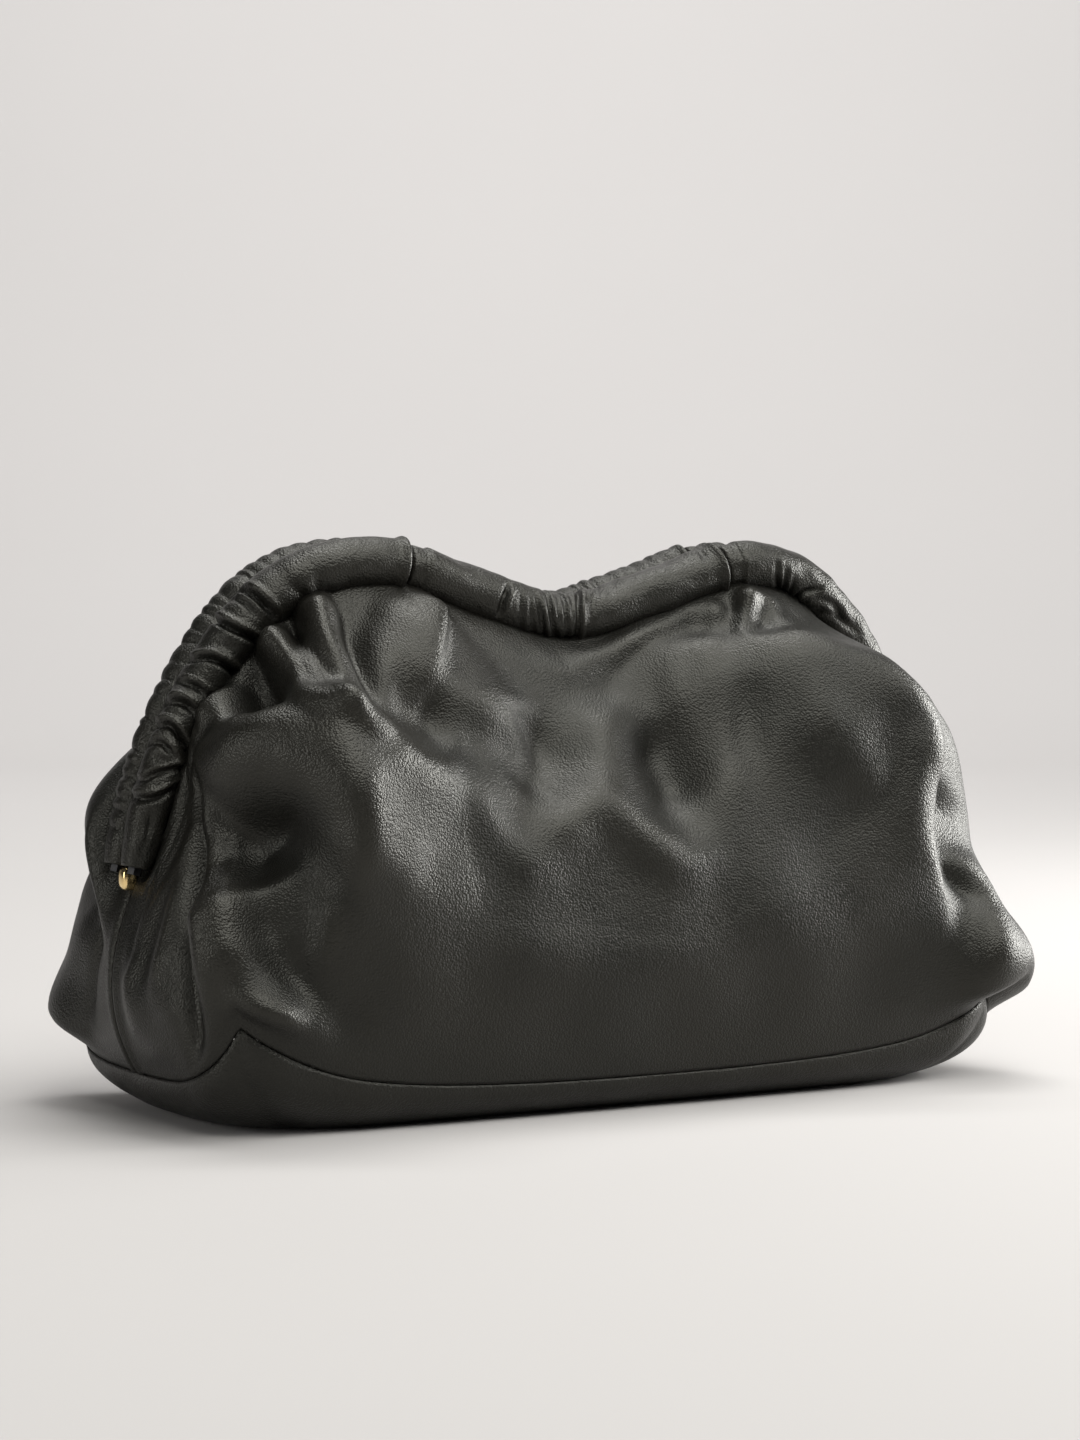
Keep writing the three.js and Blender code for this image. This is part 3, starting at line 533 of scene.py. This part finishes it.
def blurred(values, reach):
    """Mean over a square of the grid, for telling crests from valleys."""
    for axis in (0, 1):
        pad = [(0, 0), (0, 0)]
        pad[axis] = (reach, reach)
        stretched = np.cumsum(np.pad(values, pad, mode="edge"), axis=axis)
        zero = np.zeros_like(np.take(stretched, [0], axis=axis))
        stretched = np.concatenate([zero, stretched], axis=axis)
        size = values.shape[axis]
        upper = np.take(stretched, np.arange(2 * reach + 1, 2 * reach + 1 + size), axis=axis)
        lower = np.take(stretched, np.arange(size), axis=axis)
        values = (upper - lower) / (2 * reach + 1)
    return values


PROFILES = {
    "ridge": lambda d: np.exp(-d * d),
    "sausage": lambda d: np.maximum(0, 1 - (d / 1.25) ** 2) ** 0.8,
    "crease": lambda d: np.exp(-np.abs(d) * 1.5) * (1 - 0.25 * np.exp(-d * d * 16)),
    "tuck": lambda d: np.exp(-np.abs(d) * 1.5) - 0.35 * np.exp(-((d - 1.5) / 0.8) ** 2),
    "hollow": lambda d: np.exp(-0.7 * d * d),
    "lip": lambda d: np.where(d > 0, np.exp(-(d / 0.4) ** 2), np.exp(-(d / 1.6) ** 2)),
}
SOFT_PROFILES = ("ridge", "hollow", "lip")


def softened(values, passes):
    """Smooths a grid of values a little."""
    for _ in range(passes):
        values = blurred(values, 1)
    return values


def folded(rows, x, y, size):
    """Lift and sideways shift of the folds at the places x, y of a flat sheet of the given size."""
    soft = np.zeros_like(x)
    sharp = np.zeros_like(x)
    shift = np.zeros(x.shape + (2,))
    for profile, width, height, lean, knots in rows:
        points = rounded_curve(np.array(knots) * size, FOLD_STEPS if len(knots) > 2 else 3)
        steps = np.linalg.norm(np.diff(points, axis=0), axis=1)
        run = np.concatenate([[0], np.cumsum(steps)])
        best = np.full(x.shape, 1e9)
        signed = np.zeros_like(x)
        share = np.zeros_like(x)
        aside = np.zeros(x.shape + (2,))
        for k in range(len(steps)):
            way = (points[k + 1] - points[k]) / steps[k]
            from_start = np.stack([x - points[k][0], y - points[k][1]], axis=-1)
            t = np.clip(from_start @ way, 0, steps[k])
            gap = from_start - t[..., None] * way
            distance = np.hypot(gap[..., 0], gap[..., 1])
            left = gap[..., 1] * way[0] - gap[..., 0] * way[1]
            closer = distance < best
            best = np.where(closer, distance, best)
            signed = np.where(closer, np.where(left < 0, -distance, distance), signed)
            share = np.where(closer, (run[k] + t) / run[-1], share)
            aside = np.where(closer[..., None], np.array([-way[1], way[0]]), aside)
        taper = 0.35 + 0.65 * smooth(0, 0.35, share) * smooth(0, 0.35, 1 - share)
        shape = PROFILES[profile](signed / width) * taper
        if profile in SOFT_PROFILES:
            soft += height * shape
        else:
            sharp += height * shape
        shift += lean * (shape * np.exp(-(signed / width) ** 2))[..., None] * aside
    return softened(soft, 5) + softened(sharp, 1), shift


def waves(x, y, length, seed, count=14):
    """Soft uneven waves of about the given length, from -1 to 1."""
    rng = np.random.default_rng(seed)
    total = np.zeros_like(x)
    for _ in range(count):
        angle = rng.uniform(0, 2 * math.pi)
        stretch = 2 * math.pi / (length * rng.uniform(0.7, 1.5))
        total += np.sin((x * math.cos(angle) + y * math.sin(angle)) * stretch + rng.uniform(0, 2 * math.pi))
    return total / math.sqrt(count) * 0.7


def pleat_lines(gathers, total, seed):
    """Creases between uneven pleats: place, depth, sway, width and three turns."""
    rng = np.random.default_rng(seed)
    lines = []
    for start, end, pitch, depth, sway, width in gathers:
        place = start * total + pitch * 0.4
        while place < end * total:
            turns = rng.uniform(0, 2 * math.pi, 3)
            deep = depth * rng.uniform(0.55, 1.15)
            bent = sway * rng.uniform(0.3, 1.2)
            lines.append((place, deep, bent, width, *turns))
            place += pitch * rng.uniform(0.6, 1.45)
    return lines


def creases(lines, run, turn):
    """Depth of the creases between pleats at a run along the bow and a turn round it."""
    deepest = np.zeros_like(run)
    for place, depth, sway, width, first, second, third in lines:
        bend = sway * (np.sin(turn + first) + 0.5 * np.sin(2 * turn + second))
        away = np.abs(run - place - bend)
        shown = 0.75 + 0.25 * np.sin(turn + third)
        shape = 0.55 * np.exp(-(away / width) ** 1.2) + 0.45 * np.exp(-(away / (width * 3)) ** 2)
        deepest = np.maximum(deepest, depth * shown * shape)
    return deepest


BACK_PLEATS = pleat_lines(BACK_GATHERS, bows[BACK].total, 5)


def roll_creases(side, run, turn):
    """Lift of the pleats of a roll at a run along its bow and a turn round it."""
    if side == BACK:
        return -creases(BACK_PLEATS, run, turn)
    size = (bows[FRONT].total, 2 * math.pi * ROLL_RADIUS)
    y = turn * ROLL_RADIUS
    return sum(folded(ROLL_FOLDS, run, y + round_again * size[1], size)[0] for round_again in (0, 1))


def flat_grid(columns, rows):
    """A flat grid, and the column and row of each of its points."""
    bm = bmesh.new()
    bmesh.ops.create_grid(bm, x_segments=columns - 1, y_segments=rows - 1, size=1.0)
    spots = []
    for vert in bm.verts:
        spots.append((
            round((vert.co.x + 1) / 2 * (columns - 1)),
            round((vert.co.y + 1) / 2 * (rows - 1)),
        ))
    return bm, np.array(spots)


def in_scene(name, data):
    """Adds an object for a mesh, lamp or camera at the origin."""
    made = bpy.data.objects.new(name, data)
    bpy.context.scene.collection.objects.link(made)
    return made


def in_scene_mesh(name, bm):
    mesh = bpy.data.meshes.new(name)
    bm.to_mesh(mesh)
    bm.free()
    return in_scene(name, mesh)


def add_piece(name, bm, slot):
    """Makes a piece of the bag of a finished bmesh."""
    for face in bm.faces:
        face.smooth = True
    piece = in_scene_mesh(name, bm)
    piece.data.materials.append(finishes[slot])
    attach(piece, "root")
    return piece


def leather_piece(name, places, crest, closed=False, walled=False):
    """Makes a leather piece of a grid of places: closed where its edges meet, walled where it is a sheet."""
    bm, spots = flat_grid(*places.shape[:2])
    layer = bm.verts.layers.float.new("crest")
    metres = (places + SHIFT) * METRES
    for vert, (column, row) in zip(bm.verts, spots):
        vert[layer] = crest[column, row]
        vert.co = metres[column, row]
    if closed:
        bmesh.ops.remove_doubles(bm, verts=bm.verts, dist=MERGE_REACH)
        bmesh.ops.recalc_face_normals(bm, faces=bm.faces)
    piece = add_piece(name, bm, "black_leather")
    if walled:
        thick = piece.modifiers.new("leather", "SOLIDIFY")
        thick.thickness = LEATHER * METRES
        thick.offset = -1
        thick.use_even_offset = False
    return piece


class Wire:
    """A socket with the arithmetic that the finishes use."""

    def __init__(self, finish, socket):
        self.finish = finish
        self.socket = socket

    def reckon(self, operation, first, second):
        return self.finish.node("ShaderNodeMath", {"operation": operation}, {0: first, 1: second})

    def __add__(self, other):
        return self.reckon("ADD", self, other)

    def __radd__(self, other):
        return self.reckon("ADD", other, self)

    def __sub__(self, other):
        return self.reckon("SUBTRACT", self, other)

    def __rsub__(self, other):
        return self.reckon("SUBTRACT", other, self)

    def __mul__(self, other):
        return self.reckon("MULTIPLY", self, other)

    def __rmul__(self, other):
        return self.reckon("MULTIPLY", other, self)


class Finish:
    """A material whose nodes are added by one method."""

    def __init__(self, name):
        self.material = bpy.data.materials.new(name)
        self.material.use_nodes = True
        self.tree = self.material.node_tree
        self.tree.nodes.clear()

    def node(self, kind, settings=None, sockets=None, output=0):
        made = self.tree.nodes.new(kind)
        for name, value in (settings or {}).items():
            setattr(made, name, value)
        for name, value in (sockets or {}).items():
            if isinstance(value, Wire):
                self.tree.links.new(value.socket, made.inputs[name])
            else:
                made.inputs[name].default_value = value
        return None if output is None else Wire(self, made.outputs[output])

    def shaded(self, sockets):
        shader = self.node("ShaderNodeBsdfPrincipled", None, sockets)
        self.node("ShaderNodeOutputMaterial", None, {"Surface": shader}, None)
        return self.material

    def where(self):
        """Place on the object, in metres."""
        return self.node("ShaderNodeTexCoord", None, None, 3)

    def bumped(self, height, strength, distance):
        return self.node("ShaderNodeBump", None, {
            "Height": height, "Strength": strength, "Distance": distance,
        })

    def noise(self, where, scale, detail):
        return self.node("ShaderNodeTexNoise", None, {
            "Vector": where, "Scale": scale, "Detail": detail, "Roughness": 0.5,
        })

    def mixed(self, factor, first, second):
        return self.node("ShaderNodeMix", {"data_type": "RGBA"}, {0: factor, 6: first, 7: second}, 2)

    def range(self, value, low, high, to_low=0.0, to_high=1.0):
        return self.node("ShaderNodeMapRange", {"interpolation_type": "SMOOTHSTEP"}, {
            0: value, 1: low, 2: high, 3: to_low, 4: to_high,
        })


def black_leather():
    """Soft fine-grained leather, a little browner and shinier on its crests."""
    f = Finish("black_leather_finish")
    where = f.where()
    crest = f.node("ShaderNodeAttribute", {"attribute_name": "crest"}, None, 2)
    broad = f.noise(where, 22.0, 3.0)
    patch = f.noise(where, 90.0, 2.0)
    pebbles = f.node("ShaderNodeTexVoronoi", {"feature": "F1"}, {"Vector": where, "Scale": 1500.0})
    small = f.noise(where, 3200.0, 1.0)
    rubbed = f.range(crest, 0.25, 1.0)
    warm = f.range(broad, 0.4, 0.65)
    colour = f.mixed(warm, (0.0052, 0.0051, 0.0042, 1), (0.0068, 0.0062, 0.0049, 1))
    colour = f.mixed(rubbed * 0.5, colour, (0.012, 0.0112, 0.009, 1))
    height = 1.0 - pebbles + small * 0.3
    bump = f.bumped(height, 0.6, 0.00028)
    rough = f.range(patch, 0.35, 0.7, 0.39, 0.45) - rubbed * 0.05
    return f.shaded({
        "Base Color": colour, "Roughness": rough, "Normal": bump, "IOR": 1.5,
        "Specular IOR Level": 0.38, "Specular Tint": (1.0, 0.99, 0.9, 1),
    })


def dark_steel():
    f = Finish("dark_steel_finish")
    where = f.where()
    patch = f.noise(where, 180.0, 4.0)
    scratch = f.noise(where, 1500.0, 2.0)
    colour = f.mixed(f.range(patch, 0.4, 0.7), (0.03, 0.03, 0.032, 1), (0.06, 0.058, 0.055, 1))
    bump = f.bumped(scratch, 0.15, 0.0001)
    return f.shaded({
        "Base Color": colour, "Metallic": 0.9, "Roughness": patch * 0.25 + 0.3, "Normal": bump,
    })


def brass():
    f = Finish("brass_finish")
    where = f.where()
    patch = f.noise(where, 300.0, 3.0)
    fine = f.noise(where, 2500.0, 2.0)
    colour = f.mixed(patch, (0.86, 0.62, 0.27, 1), (0.95, 0.76, 0.42, 1))
    bump = f.bumped(fine, 0.05, 0.0001)
    return f.shaded({
        "Base Color": colour, "Metallic": 1.0, "Roughness": patch * 0.12 + 0.14, "Normal": bump,
    })


finishes = {"black_leather": black_leather(), "dark_steel": dark_steel(), "brass": brass()}


def relaxed(name, places, pinned, loose):
    """Lets a sheet of leather settle like cloth that has a little too much length where it is loose."""
    bm, spots = flat_grid(*places.shape[:2])
    for vert, (column, row) in zip(bm.verts, spots):
        vert.co = places[column, row] * METRES
    sheet = in_scene_mesh(name, bm)
    sewn = sheet.vertex_groups.new(name="sewn")
    full = sheet.vertex_groups.new(name="full")
    for index, (column, row) in enumerate(spots.tolist()):
        sewn.add([index], float(pinned[column, row]), "REPLACE")
        full.add([index], float(loose[column, row]), "REPLACE")
    cloth = sheet.modifiers.new("cloth", "CLOTH").settings
    cloth.quality = 8
    cloth.mass = 0.15
    cloth.air_damping = 2.0
    cloth.tension_stiffness = 30
    cloth.compression_stiffness = 30
    cloth.shear_stiffness = 15
    cloth.bending_stiffness = 20.0
    cloth.vertex_group_mass = "sewn"
    cloth.pin_stiffness = 2.0
    cloth.vertex_group_shrink = "full"
    cloth.shrink_min = 0.0
    cloth.shrink_max = -CLOTH_GROWTH
    cloth.effector_weights.gravity = 0.03
    scene = bpy.context.scene
    for moment in range(1, CLOTH_FRAMES + 1):
        scene.frame_set(moment)
    settled = sheet.evaluated_get(bpy.context.evaluated_depsgraph_get()).to_mesh()
    flat = np.empty(len(settled.vertices) * 3, np.float32)
    settled.vertices.foreach_get("co", flat)
    result = np.empty_like(places)
    result[spots[:, 0], spots[:, 1]] = flat.reshape(-1, 3) / METRES
    scene.frame_set(1)
    bpy.data.objects.remove(sheet)
    return result


def finer(values, columns, rows):
    """Reads a coarse grid of places at more columns and rows."""
    for axis, count in ((0, columns), (1, rows)):
        values = np.moveaxis(values, axis, 0)
        place = np.linspace(0, len(values) - 1, count)
        first = np.minimum(place.astype(int), len(values) - 2)
        t = (place - first).reshape((-1,) + (1,) * (values.ndim - 1))
        before = values[np.maximum(first - 1, 0)]
        after = values[np.minimum(first + 2, len(values) - 1)]
        values = cubic(before, values[first], values[first + 1], after, t)
        values = np.moveaxis(values, 0, axis)
    return values


def wall(side, name, columns, rows, folds, seed):
    """A gathered wall from end seam to end seam and from the base to the roll."""
    along, up = np.meshgrid(np.linspace(0, 1, columns), np.linspace(0, 1, rows), indexing="ij")
    shape = wall_shape(side, along, up)
    across = unit(np.gradient(shape, axis=0))
    upward = unit(np.gradient(shape, axis=1))
    outward = unit(np.cross(across, upward)) * -side
    x = along * SHEET_LONG
    y = up * SHEET_TALL
    lift, shift = folded(folds, x, y, (SHEET_LONG, SHEET_TALL))
    lift += waves(x, y, BROAD_WAVE, seed) * BROAD_WAVE_HEIGHT
    lift += waves(x, y, FINE_WAVE, seed + 1) * FINE_WAVE_HEIGHT * smooth(0.3, 0.9, up)
    gathered = np.minimum(0, roll_creases(side, along * bows[side].total, np.full_like(along, math.pi)))
    off_dip = smooth(0.02, 0.1, np.abs(along - BOW_DIP))
    lift += gathered * np.exp(-(1 - up) * SHEET_TALL / GATHER_REACH) * off_dip
    ends = np.minimum(along, 1 - along)
    fade = smooth(0, END_CLOSING, ends) * smooth(0, 0.1, up)
    top = smooth(0, 0.05, 1 - up)
    lift = lift * fade * (0.25 + 0.75 * top)
    lift += SEAM_EDGE * np.exp(-((ends * SHEET_LONG - SEAM_EDGE_PLACE) / SEAM_EDGE_WIDTH) ** 2) * top
    shift = shift * (fade * top)[..., None]
    crest = np.clip((lift - blurred(lift, CREST_REACH)) / CREST_HEIGHT, -1, 1)
    places = shape + outward * lift[..., None] + across * shift[..., :1] + upward * shift[..., 1:]
    half = (columns + 1) // 2, (rows + 1) // 2
    coarse = finer(places, *half)
    from_ends = finer(ends, *half) * SHEET_LONG / PIN_ENDS
    from_foot = finer(up, *half) * SHEET_TALL / PIN_FOOT
    from_top = finer(1 - up, *half) * SHEET_TALL / PIN_TOP
    pinned = 1 - smooth(0.3, 1.0, np.minimum(np.minimum(from_ends, from_foot), from_top))
    loose = smooth(0.45, 0.95, finer(up, *half))
    settled = relaxed(name + "_cloth", coarse, pinned, loose)
    moved = settled - coarse
    reach = np.linalg.norm(moved, axis=-1, keepdims=True)
    moved *= np.minimum(1, CLOTH_CAP / np.maximum(reach, 1e-6))
    places = places + finer(moved, columns, rows) * smooth(0.15, 0.5, up)[..., None]
    places = clear_of_roll(side, places, ROLL_CLEARANCE)
    places[:, -1] -= unit(places[:, -1] - bows[side].nearest(places[:, -1])) * TOP_TUCK
    places[0, :, 1] = side * SEAM_GAP / 2
    places[-1, :, 1] = side * SEAM_GAP / 2
    if side == BACK:
        places = places[::-1]
        crest = crest[::-1]
    piece = leather_piece(name, places, crest, walled=True)
    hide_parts(name.replace("_leather", "_panel"))


def roll_shape(side, run, turn):
    """Radius of a roll at a run along its bow and a turn round it, and how far its leather is a crest."""
    bow = bows[side]
    across = np.abs(bow.at(run / bow.total)[..., 0]) / FRAME_HALF
    lift = roll_creases(side, run, turn)
    gathered = smooth(*GATHER_SPAN, softened(-lift, 12))
    radius = roll_radius(across) + PADDING + gathered * GATHER_SWELL + lift
    length, height, more = ROLL_WAVE
    radius += waves(run, np.sin(turn) * ROLL_WAVE_TURN, length, 21) * (height + more * gathered)
    length, height = ROLL_FINE_WAVE
    radius += waves(run, np.cos(turn) * ROLL_WAVE_TURN, length, 22) * height
    return radius, ROLL_CREST + lift


def roll(side, name, start, end, join_start, join_end):
    """A length of padded roll with its bore, from start to end along the bow."""
    bow = bows[side]
    stations = np.linspace(start, end, int((end - start) / ROLL_STEP) + 2)
    turns = np.linspace(0, 2 * math.pi, ROLL_SIDES + 1)
    run, turn = np.meshgrid(stations, turns, indexing="ij")
    radius, rise = roll_shape(side, run, turn)
    radius[:, -1] = radius[:, 0]
    rise[:, -1] = rise[:, 0]
    if join_start:
        away = run - start
        sleeve = -SLEEVE * (1 - smooth(*SLEEVE_SPAN, away))
        radius += sleeve - JOIN_DIP * np.exp(-(away / JOIN_DIP_WIDTH) ** 2)
    if join_end:
        away = end - run
        lip = JOIN_LIP * np.exp(-((away - JOIN_LIP_PLACE) / JOIN_LIP_WIDTH) ** 2)
        radius += lip - JOIN_DIP * np.exp(-(away / JOIN_DIP_WIDTH) ** 2)
    for away, tip in ((run - start, start < 0), (end - run, end > bow.total)):
        length, drop = TIP_ROUND if tip else JOIN_ROUND
        corner = np.clip(1 - away / length, 0, 1)
        radius -= drop * (1 - np.sqrt(1 - corner ** 2))
    rings = [radius]
    runs = [run]
    crests = [np.clip(rise * ROLL_CREST_GAIN, -1, 1)]
    for place in np.linspace(end, start, int((end - start) / BORE_STEP) + 2):
        rings.append(np.full((1, ROLL_SIDES + 1), BORE))
        runs.append(np.full((1, ROLL_SIDES + 1), place))
        crests.append(np.zeros((1, ROLL_SIDES + 1)))
    rings.append(radius[:1])
    runs.append(run[:1])
    crests.append(crests[0][:1])
    radius = np.concatenate(rings)
    run = np.concatenate(runs)
    crest = np.concatenate(crests)
    turn = np.broadcast_to(turns, radius.shape)
    forward = bow.along(run / bow.total)
    aside = unit(np.array([0.0, 1.0, 0.0]) - forward * forward[..., 1:2])
    upward = unit(np.cross(forward, aside))
    beyond = np.minimum(run, 0) + np.maximum(run - bow.total, 0)
    centre = bow.at(run / bow.total) + forward * beyond[..., None]
    places = centre + upward * (radius * np.cos(turn))[..., None]
    places = places + aside * (radius * np.sin(turn))[..., None]
    piece = leather_piece(name + "_leather", places, crest, closed=True)
    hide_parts(name)


def base():
    """The base tray, with its rim under the walls."""
    share = np.linspace(0, 1, BASE_COLUMNS)
    sides = []
    for side in (FRONT, BACK):
        order = share if side == FRONT else share[::-1]
        foot_height, peak = seam_height(order)
        sides.append((
            seams[side].at(order),
            plan_path(side, BASE_WIDTH - 2 * END_INSET, BASE_DEPTH - 2 * SIDE_INSET, FOOT_CORNER).at(order),
            foot_height + peak - SEAM_GAP,
        ))
    seam, foot, rim = (np.concatenate([a, b, a[:1]]) for a, b in zip(*sides))
    rings = []
    for turn in np.linspace(0, math.pi / 2, BASE_RIM_ROWS):
        ring = foot + (seam - foot) * math.cos(turn)
        ring[:, 2] = rim * (1 - math.sin(turn))
        rings.append(ring)
    for inner in np.linspace(0.93, 0, BASE_FLOOR_ROWS):
        ring = foot * inner
        ring[:, 2] = 0
        rings.append(ring)
    places = np.stack(rings, axis=1)
    x, y, z = places[..., 0], places[..., 1], places[..., 2]
    ripple = waves(x, y + z, BASE_WAVE, 41) * BASE_WAVE_HEIGHT * smooth(0, 4, z)
    outward = unit(np.stack([x, y, 0 * z], axis=-1))
    edge = np.exp(-(rim[:, None] - z) / 2.0)
    places = places + outward * (ripple * (1 - edge))[..., None]
    piece = leather_piece("base_leather", places, np.zeros(places.shape[:2]), closed=True, walled=True)
    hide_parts("base_panel")


def tongue(end):
    """Brass tongue with rounded edges between the two ends of the bows."""
    node = "hinge_left" if end < 0 else "hinge_right"
    low, high = (Vector(corner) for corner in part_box(node))
    centre = (low + high) / 2
    bm = bmesh.new()
    bmesh.ops.create_uvsphere(bm, u_segments=32, v_segments=20, radius=1.0)
    half = Vector((
        (high.x - low.x) / 2 + TONGUE_PROUD_X,
        TONGUE_HALF_DEPTH,
        (high.z - low.z) / 2 + TONGUE_PROUD_Z,
    ))
    for vert in bm.verts:
        co = vert.co
        vert.co = Vector((
            centre.x + half.x * math.copysign(abs(co.x) ** TONGUE_SQUARE, co.x),
            centre.y + half.y * math.copysign(abs(co.y) ** TONGUE_SQUARE, co.y),
            centre.z - TONGUE_DROP + half.z * math.copysign(abs(co.z) ** TONGUE_SQUARE_Z, co.z),
        ))
    piece = add_piece(node + "_brass", bm, "brass")
    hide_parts(node)


wall(FRONT, "front_leather", 330, 116, FRONT_FOLDS, 31)
wall(BACK, "back_leather", 260, 92, BACK_FOLDS, 57)
for side, prefix in ((FRONT, "front"), (BACK, "back")):
    bow = bows[side]
    places = np.linspace(0, 1, 2001)
    across = bow.at(places)[:, 0]
    left = float(np.interp(-JOIN, across, places)) * bow.total
    right = float(np.interp(JOIN, across, places)) * bow.total
    roll(side, prefix + "_roll_left", -ROLL_TIP, left - SEAM_GAP / 2, False, True)
    roll(side, prefix + "_roll_middle", left + SEAM_GAP / 2, right - SEAM_GAP / 2, True, True)
    roll(side, prefix + "_roll_right", right + SEAM_GAP / 2, bow.total + ROLL_TIP, True, False)
base()
tongue(-1)
tongue(1)
for node in ("front_frame", "back_frame"):
    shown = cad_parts[node]
    for slot in shown.material_slots:
        slot.material = finishes["dark_steel"]


def studio():
    """Pale seamless floor that sweeps up behind, soft lights and the camera."""
    paper = Finish("pale_paper")
    mottle = paper.noise(paper.where(), 3.0, 2.0)
    colour = paper.mixed(mottle, (0.445, 0.432, 0.426, 1), (0.455, 0.442, 0.436, 1))
    paper.shaded({"Base Color": colour, "Roughness": 0.9, "Specular IOR Level": 0.1})
    bm = bmesh.new()
    bmesh.ops.create_grid(bm, x_segments=8, y_segments=120, size=1.0)
    view = Matrix.Rotation(math.radians(VIEW_TURN), 3, "Z")
    for vert in bm.verts:
        run = (vert.co.y + 1) / 2 * SWEEP_LENGTH
        turn = min(max((run - SWEEP_FLOOR) / SWEEP_BEND, 0), math.pi / 2)
        depth = SWEEP_FRONT + min(run, SWEEP_FLOOR) + SWEEP_BEND * math.sin(turn)
        rise = SWEEP_BEND * (1 - math.cos(turn)) + max(0, run - SWEEP_FLOOR - SWEEP_BEND * math.pi / 2)
        across = vert.co.x * SWEEP_WIDTH / 2
        vert.co = view @ Vector((across, depth, rise))
    for face in bm.faces:
        face.smooth = True
    sweep = in_scene_mesh("paper_sweep", bm)
    sweep.data.materials.append(paper.material)

    world = bpy.data.worlds.new("studio")
    bpy.context.scene.world = world
    world.use_nodes = True
    background = world.node_tree.nodes["Background"]
    background.inputs["Color"].default_value = (1.0, 0.99, 0.975, 1)
    background.inputs["Strength"].default_value = 0.035

    # Lights: name, place, aim, width, height, watts, colour
    bag = (0, 0, 0.08)
    for name, place, aim, width, height, power, colour in [
        ("front_top", (0.15, -0.78, 1.1), bag, 1.8, 0.8, 20.5, (1.0, 0.995, 0.965)),
        ("overhead", (0.2, 0.05, 1.4), bag, 0.9, 0.6, 9.0, (1.0, 0.995, 0.965)),
        ("right_side", (1.1, -0.1, 0.28), bag, 0.5, 0.5, 17.0, (1.0, 0.995, 0.975)),
        ("left_side", (-1.1, -0.15, 0.3), bag, 0.4, 0.5, 3.2, (1.0, 0.995, 0.975)),
        ("backdrop", (0.6, 0.9, 2.8), (1.9, 3.3, 0.9), 2.4, 1.2, 150.0, (1.0, 0.995, 0.985)),
    ]:
        lamp = bpy.data.lights.new(name, "AREA")
        lamp.shape = "RECTANGLE"
        lamp.size = width
        lamp.size_y = height
        lamp.energy = power
        lamp.color = colour
        source = in_scene(name, lamp)
        source.location = place
        way = Vector(aim) - Vector(place)
        source.rotation_euler = way.to_track_quat("-Z", "Y").to_euler()

    eye = bpy.data.cameras.new("eye")
    eye.lens = CAMERA_LENS
    eye.sensor_width = 36.0
    camera = in_scene("eye", eye)
    camera.location = (Vector(CAMERA_PLACE) + Vector(SHIFT)) * METRES
    camera.rotation_euler = (math.radians(90 - CAMERA_DIP), 0, math.radians(VIEW_TURN))
    bpy.context.scene.camera = camera
    bpy.context.scene.view_settings.view_transform = "Standard"


studio()
